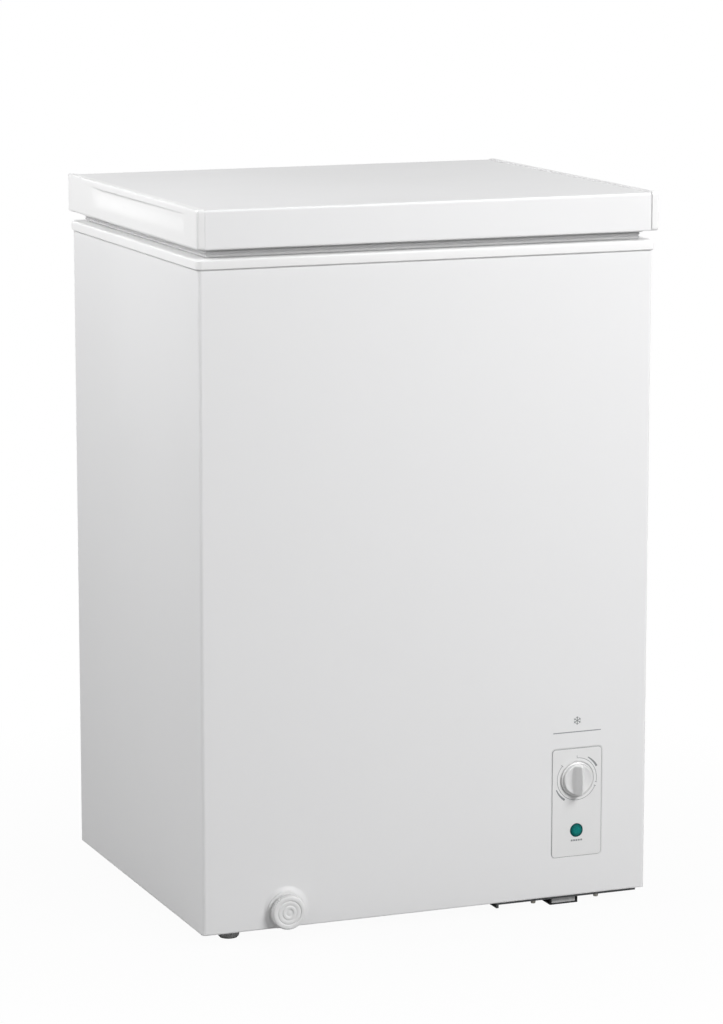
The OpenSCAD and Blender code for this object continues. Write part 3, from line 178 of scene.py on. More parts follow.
zinc_spangle, given, out = effect(
    "zinc spangle",
    {"Spangle Scale": 90.0},
    {"Spangle": "NodeSocketFloat", "Normal": "NodeSocketVector"},
)
place = add(zinc_spangle, "ShaderNodeTexCoord").outputs["Object"]
warp = add(zinc_spangle, "ShaderNodeTexNoise", {"Vector": place, "Scale": 40, "Detail": 3})
bent = add(zinc_spangle, "ShaderNodeMix", {0: 0.012, 4: place, 5: warp.outputs[1]}, data_type="VECTOR")
cells = add(zinc_spangle, "ShaderNodeTexVoronoi", {
    "Vector": bent.outputs[1], "Scale": given["Spangle Scale"]})
shade = add(zinc_spangle, "ShaderNodeSeparateColor", {0: cells.outputs["Color"]}).outputs[0]
feather = add(zinc_spangle, "ShaderNodeTexNoise", {"Vector": place, "Scale": 900, "Detail": 4})
grooves = add(zinc_spangle, "ShaderNodeMath", {0: feather.outputs[0], 1: shade}, operation="MULTIPLY")
bump = add(zinc_spangle, "ShaderNodeBump", {"Distance": 0.00003, "Height": grooves.outputs[0]})
zinc_spangle.links.new(shade, out.inputs["Spangle"])
zinc_spangle.links.new(bump.outputs[0], out.inputs["Normal"])


def zinc_sheet(name, bright, grey, spangle_scale):
    """Galvanised steel: the spangles differ in brightness and in gloss."""
    material, tree, shader = finish_of(name, bright, 0.4, Metallic=1.0)
    crystal = add(tree, "ShaderNodeGroup", {"Spangle Scale": spangle_scale}, node_tree=zinc_spangle)
    tone = add(tree, "ShaderNodeMix", {
        0: crystal.outputs["Spangle"], 6: (*bright, 1), 7: (*grey, 1)}, data_type="RGBA")
    gloss = add(tree, "ShaderNodeMapRange", {
        "Value": crystal.outputs["Spangle"], "To Min": 0.36, "To Max": 0.5})
    tree.links.new(tone.outputs[2], shader.inputs["Base Color"])
    tree.links.new(gloss.outputs[0], shader.inputs["Roughness"])
    tree.links.new(crystal.outputs["Normal"], shader.inputs["Normal"])
    return material


dress(zinc_sheet("galvanised sheet", (0.74, 0.75, 0.77), (0.62, 0.63, 0.65), 130),
      "back_panel", "bottom_panel", "compartment_shield")

# ---- insulation ----
# Rigid polyurethane foam, blown in place between the shell and the liner and inside the lid.
# It is pale yellow, with small closed cells where a face is cut.

foam, tree, shader = finish_of("blown foam", (0.80, 0.70, 0.42), 0.9)
place = add(tree, "ShaderNodeTexCoord").outputs["Object"]
cells = add(tree, "ShaderNodeTexVoronoi", {"Vector": place, "Scale": 900})
patches = add(tree, "ShaderNodeTexNoise", {"Vector": place, "Scale": 25, "Detail": 4})
tone = add(tree, "ShaderNodeMix", {
    0: patches.outputs[0], 6: (0.84, 0.74, 0.46, 1), 7: (0.70, 0.57, 0.28, 1)}, data_type="RGBA")
bump = add(tree, "ShaderNodeBump", {"Distance": 0.0004, "Height": cells.outputs["Distance"]})
tree.links.new(tone.outputs[2], shader.inputs["Base Color"])
tree.links.new(bump.outputs[0], shader.inputs["Normal"])
dress(foam, "insulation_foam", "lid_foam")

# ---- inner liner ----
# Aluminium sheet embossed all over with a pebbled stucco pattern, folded into a box with a step over the
# compressor. The raised pebbles are polished by use and glossier, the hollows stay dull; the colour is
# painted darker in the hollows as shade and lighter on the raised pebbles.

liner_metal, tree, shader = finish_of("stucco aluminium", (0.80, 0.81, 0.82), 0.3, Metallic=1.0)
place = add(tree, "ShaderNodeTexCoord").outputs["Object"]
wander = add(tree, "ShaderNodeTexNoise", {"Vector": place, "Scale": 120, "Detail": 1})
bent = add(tree, "ShaderNodeMix", {0: 0.01, 4: place, 5: wander.outputs[1]}, data_type="VECTOR")
pebbles = add(tree, "ShaderNodeTexVoronoi", {
    "Vector": bent.outputs[1], "Scale": 190, "Smoothness": 0.6}, feature="SMOOTH_F1")
height = add(tree, "ShaderNodeMapRange", {
    "Value": pebbles.outputs["Distance"], "From Min": 0.15, "From Max": 0.62, "To Min": 1.0, "To Max": 0.0})
gloss = add(tree, "ShaderNodeMapRange", {"Value": height.outputs[0], "To Min": 0.42, "To Max": 0.24})
# painted shade: the colour darkens into the embossing's hollows and lightens on the raised pebbles
tone = add(tree, "ShaderNodeMix", {
    0: height.outputs[0], 6: (0.66, 0.68, 0.70, 1), 7: (0.86, 0.87, 0.88, 1)}, data_type="RGBA")
bump = add(tree, "ShaderNodeBump", {"Distance": 0.0004, "Height": height.outputs[0]})
tree.links.new(tone.outputs[2], shader.inputs["Base Color"])
tree.links.new(gloss.outputs[0], shader.inputs["Roughness"])
tree.links.new(bump.outputs[0], shader.inputs["Normal"])
dress(liner_metal, "inner_liner")

# ---- refrigerant circuit ----
# Drawn tubes: aluminium round the liner, copper-washed steel behind the shell, and soft
# copper between them and the compressor. Drawing leaves streaks, and heat leaves bands.

drawn_metal, given, out = effect(
    "drawn metal",
    {"Streak Scale": 400.0, "Stretch": (1.0, 1.0, 0.04)},
    {"Streak": "NodeSocketFloat", "Tarnish": "NodeSocketFloat", "Normal": "NodeSocketVector"},
)
place = add(drawn_metal, "ShaderNodeTexCoord").outputs["Object"]
along = add(drawn_metal, "ShaderNodeVectorMath", {0: place, 1: given["Stretch"]}, operation="MULTIPLY")
streak = add(drawn_metal, "ShaderNodeTexNoise", {
    "Vector": along.outputs[0], "Scale": given["Streak Scale"], "Detail": 4})
tarnish = add(drawn_metal, "ShaderNodeTexNoise", {"Vector": place, "Scale": 35, "Detail": 5})
bump = add(drawn_metal, "ShaderNodeBump", {"Distance": 0.00001, "Height": streak.outputs[0]})
drawn_metal.links.new(streak.outputs[0], out.inputs["Streak"])
drawn_metal.links.new(tarnish.outputs[0], out.inputs["Tarnish"])
drawn_metal.links.new(bump.outputs[0], out.inputs["Normal"])


def bare_metal(name, bright, tarnished, glossy, dull, stretch=(1.0, 1.0, 0.04), streak_scale=400.0):
    """Drawn, turned or rolled metal that tarnishes in patches."""
    material, tree, shader = finish_of(name, bright, dull, Metallic=1.0)
    marks = add(tree, "ShaderNodeGroup", {
        "Streak Scale": streak_scale, "Stretch": stretch}, node_tree=drawn_metal)
    aged = add(tree, "ShaderNodeMapRange", {
        "Value": marks.outputs["Tarnish"], "From Min": 0.4, "From Max": 0.7})
    tone = add(tree, "ShaderNodeMix", {
        0: aged.outputs[0], 6: (*bright, 1), 7: (*tarnished, 1)}, data_type="RGBA")
    gloss = add(tree, "ShaderNodeMapRange", {
        "Value": marks.outputs["Streak"], "From Min": 0.3, "From Max": 0.7,
        "To Min": glossy, "To Max": dull})
    tree.links.new(tone.outputs[2], shader.inputs["Base Color"])
    tree.links.new(gloss.outputs[0], shader.inputs["Roughness"])
    tree.links.new(marks.outputs["Normal"], shader.inputs["Normal"])
    return material


dress(bare_metal("aluminium tube", (0.78, 0.79, 0.80), (0.58, 0.59, 0.60), 0.25, 0.42), "evaporator_coil")
dress(bare_metal("copper-washed tube", (0.55, 0.33, 0.22), (0.28, 0.17, 0.12), 0.3, 0.5), "condenser_coil")
dress(bare_metal("soft copper", (0.78, 0.42, 0.27), (0.40, 0.20, 0.13), 0.22, 0.42),
      "capillary_tube", "suction_pipe", "discharge_pipe", "liquid_pipe", "filter_drier", "sensor_tube")

# ---- top collar ----
# White moulded frame that clips over the top of the shell and the liner. Its outer edges
# are well rounded, and a ledge runs inside it all the way round to carry the basket.

MM = 0.001


def corners_of(name):
    """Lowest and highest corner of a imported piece, in millimetres."""
    return [tuple(v / MM for v in corner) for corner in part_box(name)]


def rounded_outline(x0, x1, y0, y1, radius, z, arc=8):
    """Points round a rectangle with round corners, at height z."""
    corners = [(x1 - radius, y1 - radius), (x0 + radius, y1 - radius),
               (x0 + radius, y0 + radius), (x1 - radius, y0 + radius)]
    return [
        (cx + radius * math.cos(turn), cy + radius * math.sin(turn), z)
        for k, (cx, cy) in enumerate(corners)
        for turn in (math.pi / 2 * (k + i / arc) for i in range(arc + 1))
    ]


def loft(rings, closed=False, first_lid=False, last_lid=False):
    """Points and faces of a skin through rings of equally many points."""
    count = len(rings[0])
    faces = []
    for j in range(len(rings) if closed else len(rings) - 1):
        a, b = j * count, (j + 1) % len(rings) * count
        for i in range(count):
            k = (i + 1) % count
            faces.append((a + i, a + k, b + k, b + i))
    if first_lid:
        faces.append(tuple(range(count)))
    if last_lid:
        faces.append(tuple(range(len(rings) * count - 1, (len(rings) - 1) * count - 1, -1)))
    return [point for ring in rings for point in ring], faces


def piece_of(name, parts, material, sharp=35):
    """A mesh object from (points, faces) pairs in millimetres, smooth up to a crease angle."""
    points, faces = [], []
    for part_points, part_faces in parts:
        start = len(points)
        points += [Vector(point) * MM for point in part_points]
        faces += [tuple(start + i for i in face) for face in part_faces]
    mesh = bpy.data.meshes.new(name)
    mesh.from_pydata(points, [], faces)
    work = bmesh.new()
    work.from_mesh(mesh)
    bmesh.ops.remove_doubles(work, verts=work.verts, dist=0.002 * MM)
    bmesh.ops.dissolve_degenerate(work, edges=work.edges, dist=0.001 * MM)
    bmesh.ops.recalc_face_normals(work, faces=work.faces)
    work.to_mesh(mesh)
    work.free()
    mesh.shade_smooth()
    mesh.set_sharp_from_angle(angle=math.radians(sharp))
    mesh.materials.append(material)
    piece = bpy.data.objects.new(name, mesh)
    bpy.context.scene.collection.objects.link(piece)
    return piece


def quarter(centre_d, centre_z, radius, start, steps=5):
    """Points of a quarter circle, turning clockwise from the start angle in degrees."""
    return [
        (centre_d + radius * math.cos(math.radians(start - 90 * i / steps)),
         centre_z + radius * math.sin(math.radians(start - 90 * i / steps)))
        for i in range(steps + 1)
    ]


shell_low, shell_high = corners_of("outer_shell")
collar_low, collar_high = corners_of("top_collar")
collar_over = shell_low[0] - collar_low[0]
collar_outer_radius = 8
collar_edge = 2.8
wall = 56
liner_radius = 15
ledge = 14
ledge_drop = 9.8


def collar_ring(d, z, radius):
    """Outline of the collar at a distance d outside the shell's faces."""
    return rounded_outline(
        shell_low[0] - d, shell_high[0] + d, shell_low[1] - d, shell_high[1] + d, radius, z)


outer = [(collar_over - 1, collar_low[2]), (collar_over, collar_low[2] + 1)]
outer += list(quarter(collar_over - collar_edge, collar_high[2] - collar_edge, collar_edge, 90))[::-1]
collar_rings = [collar_ring(-wall, collar_low[2], liner_radius), collar_ring(0, collar_low[2], 5)]
collar_rings += [collar_ring(d, z, collar_outer_radius - collar_over + d) for d, z in outer]
ledge_radius = liner_radius + ledge
ledge_z = collar_high[2] - ledge_drop
collar_rings += [
    collar_ring(ledge - wall + 1.5, collar_high[2], ledge_radius + 1.5),
    collar_ring(ledge - wall + 0.4, collar_high[2] - 0.4, ledge_radius + 0.4),
    collar_ring(ledge - wall, collar_high[2] - 1.5, ledge_radius),
    collar_ring(ledge - wall, ledge_z + 0.6, ledge_radius),
    collar_ring(ledge - wall - 0.6, ledge_z, ledge_radius - 0.6),
    collar_ring(-wall + 1, ledge_z, liner_radius + 1),
    collar_ring(-wall, ledge_z - 1, liner_radius),
]
white_moulding = smooth_coating(
    "white moulding", (0.84, 0.84, 0.84), (0.815, 0.815, 0.815), 0.44, 0.36, 1400, 0.00002, 0.0006,
    dust=0.08)
collar = piece_of("collar", [loft(collar_rings, closed=True)], white_moulding)
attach(collar, "cabinet")
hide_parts("top_collar")

# ---- drain ----
# A tube leads meltwater from the cavity floor to a socket low on the front. Its spigot pulls
# out and ends in a round cap with a knurled edge, turned open by hand. All are white mouldings.


def turned(profile, centre, axis, count, flutes=0, depth=0.0):
    """Skin of (radius, height, fluted) points turned about an axis that faces -Y or +Z."""
    rings = []
    for radius, height, fluted in profile:
        ring = []
        for i in range(count):
            angle = 2 * math.pi * i / count
            cut = depth * (1 - abs(math.cos(flutes * angle / 2))) if fluted else 0
            u, v = (radius - cut) * math.cos(angle), (radius - cut) * math.sin(angle)
            x, y, z = centre
            ring.append((x + u, y - height, z + v) if axis == "-Y" else (x + u, y + v, z + height))
        rings.append(ring)
    return loft(rings)


cap_low, cap_high = corners_of("drain_cap")
cap_radius = (cap_high[0] - cap_low[0]) / 2
cap_centre = (cap_low[0] + cap_radius, cap_high[1], cap_low[2] + cap_radius)
cap_thick = cap_high[1] - cap_low[1]
spigot_bore = 9.06
socket_depth = 6
cap_profile = [(0, socket_depth, 0), (spigot_bore, socket_depth, 0), (spigot_bore, 0, 0)]
cap_profile += [(cap_radius - 0.8, 0, 1), (cap_radius, 0.7, 1)]
cap_profile += [(cap_radius - inset, cap_thick - sunk, fluted) for inset, sunk, fluted in (
    (0, 2.4, 1), (0.3, 1.2, 1), (1.1, 0.4, 0), (2.2, 0, 0))]
cap_profile += [(radius, cap_thick - sunk, 0) for radius, sunk in (
    (14.9, 0), (14.6, 0.2), (14.4, 0.9), (14.0, 1.0), (13.4, 0.5), (12.6, 0.3),
    (9.4, 0.4), (8.9, 0.8), (8.5, 0.8), (8.1, 0.2), (7.4, 0.1), (5.4, 0.1),
    (4.8, 0.3), (4.3, 1.1), (2.9, 1.2), (1.5, 0.7), (0, 0.6))]
cap_flutes = 48
flute_depth = 1.3
drain_moulding = smooth_coating(
    "drain moulding", (0.82, 0.82, 0.82), (0.78, 0.78, 0.78), 0.45, 0.36, 1600, 0.00003, 0.0005, dust=0.15)
cap = piece_of("drain_cap_knurled", [
    turned(cap_profile, cap_centre, "-Y", 10 * cap_flutes, cap_flutes, flute_depth)], drain_moulding, 50)
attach(cap, "cap")
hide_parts("drain_cap")
dress(drain_moulding, "drain_socket", "drain_spigot")
natural_plastic = smooth_coating(
    "natural plastic", (0.78, 0.76, 0.70), (0.70, 0.68, 0.61), 0.5, 0.42, 900, 0.00003, 0.0006,
    Subsurface_Weight=0.15)
dress(natural_plastic, "drain_tube", "lamp_holder")
plug_rubber = smooth_coating(
    "plug rubber", (0.42, 0.43, 0.44), (0.34, 0.35, 0.36), 0.75, 0.6, 1300, 0.00005, 0.001,
    Sheen_Weight=0.2)
dress(plug_rubber, "drain_plug")

# ---- base: tray, rail, filling ----
# A pressed steel tray under the compressor, painted dark grey, and below it a black channel
# that runs from front to back and stands on the floor, filled with a light regrind plastic.

tray_paint = smooth_coating(
    "tray paint", (0.085, 0.088, 0.092), (0.055, 0.058, 0.060), 0.55, 0.42, 500, 0.00006, 0.0006, dust=0.35)
dress(tray_paint, "base_tray")
black_paint = smooth_coating(
    "black paint", (0.018, 0.018, 0.019), (0.010, 0.010, 0.011), 0.5, 0.36, 500, 0.00006, 0.0007, dust=0.25)
dress(black_paint, "support_rail", "compressor_can", "compressor_mount")

filling_low, filling_high = corners_of("rail_pad")
filling_steps = 44
filling_sag = 0.25
filling_rings = []
for step in range(filling_steps + 1):
    share = step / filling_steps
    y = filling_low[1] + share * (filling_high[1] - filling_low[1])
    end = 0.7 if step in (0, filling_steps) else 0.0
    sag = filling_sag * (1 + math.sin(share * 31)) / 2
    ring = rounded_outline(
        filling_low[0] + end, filling_high[0] - end,
        filling_low[2] + end, filling_high[2] - end - sag, 1.2, y, 4)
    filling_rings.append([(x, level, z) for x, z, level in ring])
filling_plastic, tree, shader = finish_of("regrind filling", (0.84, 0.84, 0.84), 0.6)
place = add(tree, "ShaderNodeTexCoord").outputs["Object"]
flakes = add(tree, "ShaderNodeTexVoronoi", {"Vector": place, "Scale": 420})
clouds = add(tree, "ShaderNodeTexNoise", {"Vector": place, "Scale": 150, "Detail": 4})
blend = add(tree, "ShaderNodeMix", {
    0: 0.45, 2: clouds.outputs[0], 3: flakes.outputs["Distance"]}, data_type="FLOAT")
tone = add(tree, "ShaderNodeMix", {
    0: blend.outputs[0], 6: (0.97, 0.97, 0.97, 1), 7: (0.62, 0.62, 0.62, 1)}, data_type="RGBA")
bump = add(tree, "ShaderNodeBump", {"Distance": 0.0002, "Height": clouds.outputs[0]})
tree.links.new(tone.outputs[2], shader.inputs["Base Color"])
tree.links.new(bump.outputs[0], shader.inputs["Normal"])
filling = piece_of("rail_filling", [loft(filling_rings, first_lid=True, last_lid=True)], filling_plastic)
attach(filling, "cabinet")
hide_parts("rail_pad")

# ---- feet ----
# Two levelling feet under the left side: a plated stud in a moulded insert, and a grey pad
# with upright finger ribs and a darker sole, turned by hand to set its height.

foot_ribs = 28
foot_rib_depth = 1.5
foot_top = 11
sole_h = 1.5
stud_bore = 4.06
stud_seat = 2.7
foot_grey = smooth_coating(
    "foot moulding", (0.60, 0.60, 0.60), (0.50, 0.50, 0.50), 0.55, 0.45, 1200, 0.00004, 0.0005, dust=0.25)
sole_dark = smooth_coating(
    "foot sole", (0.05, 0.05, 0.05), (0.035, 0.035, 0.035), 0.8, 0.65, 900, 0.00008, 0.0004, dust=0.3)
for end in ("front", "rear"):
    low, high = corners_of("foot_pad_" + end)
    radius = (high[0] - low[0]) / 2
    centre = (low[0] + radius, low[1] + radius, 0)
    profile = [
        (0, 0, 0), (radius - 4, 0, 0), (radius - 2.6, 0.4, 0), (radius - 2, sole_h - 0.2, 0),
        (radius - 1.8, sole_h, 0), (radius - 1.2, sole_h + 0.3, 1), (radius - 0.5, sole_h + 2.2, 1),
        (radius, foot_top - 3.6, 1), (radius, foot_top - 1.2, 1), (radius - 0.4, foot_top - 0.4, 1),
        (radius - 1.6, foot_top, 0),
        (4.2, foot_top, 0), (stud_bore, foot_top - 0.2, 0), (stud_bore, stud_seat, 0), (0, stud_seat, 0),
    ]
    pad = piece_of("foot_" + end, [
        turned(profile, centre, "+Z", 10 * foot_ribs, foot_ribs, foot_rib_depth)], foot_grey, 50)
    pad.data.materials.append(sole_dark)
    for face in pad.data.polygons:
        if max(pad.data.vertices[i].co.z for i in face.vertices) <= (sole_h + 0.05) * MM:
            face.material_index = 1
    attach(pad, end + "_foot")
    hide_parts("foot_pad_" + end)

turned_steel = bare_metal(
    "turned steel", (0.66, 0.67, 0.68), (0.48, 0.48, 0.48), 0.22, 0.38, (0.05, 0.05, 1.0), 900)
dress(turned_steel, "foot_stud_front", "foot_stud_rear", "thermostat_shaft", "hinge_pins")
grey_moulding = smooth_coating(
    "grey moulding", (0.50, 0.50, 0.50), (0.44, 0.44, 0.44), 0.5, 0.42, 1200, 0.00003, 0.0006)
dress(grey_moulding, "foot_inserts", "control_box", "wall_spacers")

# ---- compressor fittings ----
# The compressor stands on rubber grommets with shouldered bolts, and its start relay clips
# to the can. Screws are zinc plated with a faint yellow cast.

zinc_screw = bare_metal(
    "plated screw", (0.70, 0.69, 0.64), (0.50, 0.48, 0.42), 0.25, 0.42, (1.0, 1.0, 1.0), 700)
dress(zinc_screw, "compressor_bolts", "case_screws", "hinge_screws", "leaf_screws")
black_moulding = smooth_coating(
    "black moulding", (0.022, 0.022, 0.022), (0.014, 0.014, 0.014), 0.5, 0.36, 1200, 0.00004, 0.0006)
dress(black_moulding, "start_relay", "cable_gland")
grommet_rubber = smooth_coating(
    "grommet rubber", (0.030, 0.030, 0.031), (0.020, 0.020, 0.021), 0.85, 0.7, 900, 0.00006, 0.0012,
    Sheen_Weight=0.25)
dress(grommet_rubber, "compressor_grommets")

# ---- rear grille ----
# Steel sheet with rows of punched air slots, painted light grey. It is screwed over the
# compressor compartment, where the air that it lets through leaves some dust.

grille_paint = smooth_coating(
    "grille paint", (0.62, 0.62, 0.62), (0.56, 0.56, 0.56), 0.5, 0.38, 650, 0.00004, 0.0004)
dress(grille_paint, "rear_grille")

# ---- control panel ----
# A white moulded plate set into the front, with a round recess for the knob and a hole for
# the lamp. Behind it sit the thermostat, its feeler tube and the lamp holder.

fascia_moulding = smooth_coating(
    "fascia moulding", (0.80, 0.80, 0.80), (0.775, 0.775, 0.775), 0.46, 0.38, 2200, 0.00002, 0.0005,
    dust=0.1)
dress(fascia_moulding, "control_fascia")
thermostat_case = bare_metal(
    "thermostat case", (0.70, 0.70, 0.68), (0.52, 0.51, 0.46), 0.3, 0.45, (1.0, 0.05, 1.0), 500)
dress(thermostat_case, "thermostat_body")

# ---- printed marks on the panel, and painted shade round it ----
# Thin grey ink, screen printed: a broken ring with ticks and two bars round the knob, dashes under the lamp,
# and a plain frost mark over a rule. A thin dark ring of the same ink round the panel is painted shade: it
# stands for the shadow in the joint between the panel and the shell.

ink_depth = 0.04
# this grey ink also paints the shade in the panel's joint, as a dark ring round the panel
ink, tree, shader = finish_of("grey ink", (0.23, 0.24, 0.25), 0.5)
place = add(tree, "ShaderNodeTexCoord").outputs["Object"]
patchy = add(tree, "ShaderNodeTexNoise", {"Vector": place, "Scale": 2500, "Detail": 3})
tone = add(tree, "ShaderNodeMix", {
    0: patchy.outputs[0], 6: (0.20, 0.21, 0.22, 1), 7: (0.30, 0.31, 0.32, 1)}, data_type="RGBA")
gloss = add(tree, "ShaderNodeMapRange", {"Value": patchy.outputs[0], "To Min": 0.42, "To Max": 0.58})
tree.links.new(tone.outputs[2], shader.inputs["Base Color"])
tree.links.new(gloss.outputs[0], shader.inputs["Roughness"])


def ink_patch(outline, y):
    """A thin closed patch of ink: the outline in x and z, standing on the plane y."""
    count = len(outline)
    front = [(x, y - ink_depth, z) for x, z in outline]
    back = [(x, y, z) for x, z in outline]
    faces = [tuple(range(count)), tuple(range(2 * count - 1, count - 1, -1))]
    faces += [(i, (i + 1) % count, count + (i + 1) % count, count + i) for i in range(count)]
    return front + back, faces


def ink_arc(x, z, radius, start, end, width0, width1, y, steps=48):
    """A curved stroke; the angles are clockwise from the top, and its width may taper."""
    outside, inside = [], []
    for i in range(steps + 1):
        angle = math.radians(start + (end - start) * i / steps)
        half = (width0 + (width1 - width0) * i / steps) / 2
        outside.append((x + (radius + half) * math.sin(angle), z + (radius + half) * math.cos(angle)))
        inside.append((x + (radius - half) * math.sin(angle), z + (radius - half) * math.cos(angle)))
    return ink_patch(outside + inside[::-1], y)


def ink_line(x0, z0, x1, z1, width, y):
    """A straight stroke between two points."""
    run, rise = x1 - x0, z1 - z0
    length = math.hypot(run, rise)
    u, v = -rise / length * width / 2, run / length * width / 2
    return ink_patch([(x0 + u, z0 + v), (x1 + u, z1 + v), (x1 - u, z1 - v), (x0 - u, z0 - v)], y)


knob_low, knob_high = corners_of("thermostat_knob")
knob_radius = (knob_high[0] - knob_low[0]) / 2
knob_x, knob_z = knob_low[0] + knob_radius, knob_low[2] + knob_radius
panel_low, panel_high = corners_of("control_fascia")
fascia_y = panel_low[1]
gap_shade_lift = 0.05
scale_radius = 25.6
stroke = 0.55
strokes = [
    ink_arc(knob_x, knob_z, scale_radius, 0, 103, stroke, stroke, fascia_y),
    ink_arc(knob_x, knob_z, scale_radius, 113, 312, stroke, stroke, fascia_y),
    ink_arc(knob_x, knob_z, scale_radius + 3.4, 29, 62, 1.2, 2.6, fascia_y),
    ink_arc(knob_x, knob_z, scale_radius + 3.4, 213, 247, 2.6, 1.2, fascia_y),
]
for angle, inner, reach in ((0, 0, 3), (103, -1.4, 1.4), (113, -1.4, 1.4), (312, -1.5, 2.6)):
    s, c = math.sin(math.radians(angle)), math.cos(math.radians(angle))
    strokes.append(ink_line(
        knob_x + s * (scale_radius + inner), knob_z + c * (scale_radius + inner),
        knob_x + s * (scale_radius + reach), knob_z + c * (scale_radius + reach), stroke, fascia_y))
lens_low, lens_high = corners_of("lamp_lens")
lens_x, lens_z = (lens_low[0] + lens_high[0]) / 2, (lens_low[2] + lens_high[2]) / 2
dash_z = lens_z - 12.2
for i in range(5):
    dash_x = lens_x - 7.2 + 3.1 * i
    strokes.append(ink_line(dash_x, dash_z, dash_x + 2.4, dash_z, 2.1, fascia_y))
mark_z = 225.5
mark_arm = 5
barb_from = 3
barb = 1.9
for i in range(3):
    s, c = math.sin(math.pi * i / 3), math.cos(math.pi * i / 3)
    strokes.append(ink_line(
        knob_x - mark_arm * s, mark_z - mark_arm * c,
        knob_x + mark_arm * s, mark_z + mark_arm * c, 0.8, shell_low[1]))
for i in range(6):
    barb_x = knob_x + barb_from * math.sin(math.pi * i / 3)
    barb_z = mark_z + barb_from * math.cos(math.pi * i / 3)
    for side in (-1, 1):
        t = math.pi * i / 3 + side * math.pi / 3.4
        strokes.append(ink_line(
            barb_x, barb_z, barb_x + barb * math.sin(t), barb_z + barb * math.cos(t), 0.7, shell_low[1]))
rule_z = 212
rule_half = 31
strokes.append(ink_line(knob_x - rule_half, rule_z, knob_x + rule_half, rule_z, 1.1, shell_low[1]))
# painted shade: a thin dark ring of ink round the panel, standing for the shadow in its joint with the shell
gap_shade_outlines = [rounded_outline(panel_low[0] - w, panel_high[0] + w, panel_low[2] - w, panel_high[2] + w, 4 + w, 0)
        for w in (0.5, -0.4)]
gap_shade_rings = [
    [(x, shell_low[1] - lift, z) for x, z, _ in gap_shade_outlines[which]]
    for which, lift in ((0, 0), (0, gap_shade_lift), (1, gap_shade_lift), (1, 0))
]
strokes.append(loft(gap_shade_rings, closed=True))
print_and_gap_shade = piece_of("printed_marks_and_gap_shade", strokes, ink)
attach(print_and_gap_shade, "cabinet")

# ---- lamp lens ----
# Clear green plastic, moulded with cut facets. A faint even green glow stands for the small lamp behind it,
# and bright green sparks of emission, thinning out towards the rim, are painted glints on the facets. A
# plain rim round the facets snaps into the hole in the panel.

lens_radius = (lens_high[0] - lens_low[0]) / 2
lens_face = (lens_x, fascia_y, lens_z)
lens_back = -4.9
facets = 10
rim_profile = [
    (lens_radius, lens_back, 0), (lens_radius, 0.1, 0), (lens_radius - 0.2, 0.35, 0),
    (lens_radius - 0.7, 0.4, 0), (lens_radius - 1, 0.2, 0)]
facet_rings = [
    (lens_radius - 1.0, 0.2, 0), (lens_radius - 2.4, 1.5, 0.5), (lens_radius - 4.6, 2.1, 0), (1.7, 2.4, 0.5)]


def facet_ring(radius, height, shift):
    """The facets' corners at one height, turned by a share of a facet."""
    x, y, z = lens_face
    turns = [2 * math.pi / facets * (i + shift) for i in range(facets)]
    return [(x + radius * math.cos(turn), y - height, z + radius * math.sin(turn)) for turn in turns]


crown = [facet_ring(*ring) for ring in facet_rings]
crown_faces = []
for j, (a, b) in enumerate(zip(facet_rings, facet_rings[1:])):
    lead = 1 if a[2] > b[2] else 0
    one, two = j * facets, (j + 1) * facets
    for i in range(facets):
        k = (i + 1) % facets
        near, far = two + (i + lead) % facets, two + (k + lead) % facets
        crown_faces += [(one + i, one + k, near), (one + k, far, near)]
crown_faces.append(tuple(range(3 * facets, 4 * facets)))
green_lens, tree, shader = finish_of(
    "green lens", (0.0, 0.14, 0.13), 0.2, Coat_Weight=0.05, Emission_Strength=0.15, Specular_IOR_Level=0.12)
place = add(tree, "ShaderNodeTexCoord").outputs["Object"]
# painted highlights: speckled emission sparks stand for glints on the facets, fading towards the rim
painted_glints = add(tree, "ShaderNodeTexVoronoi", {"Vector": place, "Scale": 700})
centre = add(
    tree, "ShaderNodeVectorMath", {0: place, 1: tuple(v * MM for v in lens_face)}, operation="DISTANCE")
inward = add(tree, "ShaderNodeMapRange", {
    "Value": centre.outputs["Value"], "From Min": 0.004, "From Max": 0.0085, "To Min": 1.0, "To Max": 0.12})
glint_share = add(
    tree, "ShaderNodeMath", {0: inward.outputs[0], 1: painted_glints.outputs["Distance"]}, operation="MULTIPLY")
tone = add(tree, "ShaderNodeMix", {
    0: inward.outputs[0], 6: (0.0, 0.018, 0.022, 1), 7: (0.0, 0.12, 0.115, 1)}, data_type="RGBA")
glow_and_painted_glints = add(tree, "ShaderNodeMix", {
    0: glint_share.outputs[0], 6: (0.0, 0.05, 0.05, 1), 7: (0.05, 0.9, 0.75, 1)}, data_type="RGBA")
tree.links.new(tone.outputs[2], shader.inputs["Base Color"])
tree.links.new(glow_and_painted_glints.outputs[2], shader.inputs["Emission Color"])
rim = turned(rim_profile, lens_face, "-Y", 60)
back_ring = turned([(0, lens_back, 0), (lens_radius, lens_back, 0)], lens_face, "-Y", 60)
lens = piece_of("lamp_lens_faceted", [rim, back_ring, (
    [point for ring in crown for point in ring], crown_faces)], green_lens, 8)
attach(lens, "cabinet")
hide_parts("lamp_lens")

# ---- thermostat knob ----
# Satin silver-white moulding pressed on the shaft: a skirt, a dished face and a tapered grip
# straight across it, with soft edges.

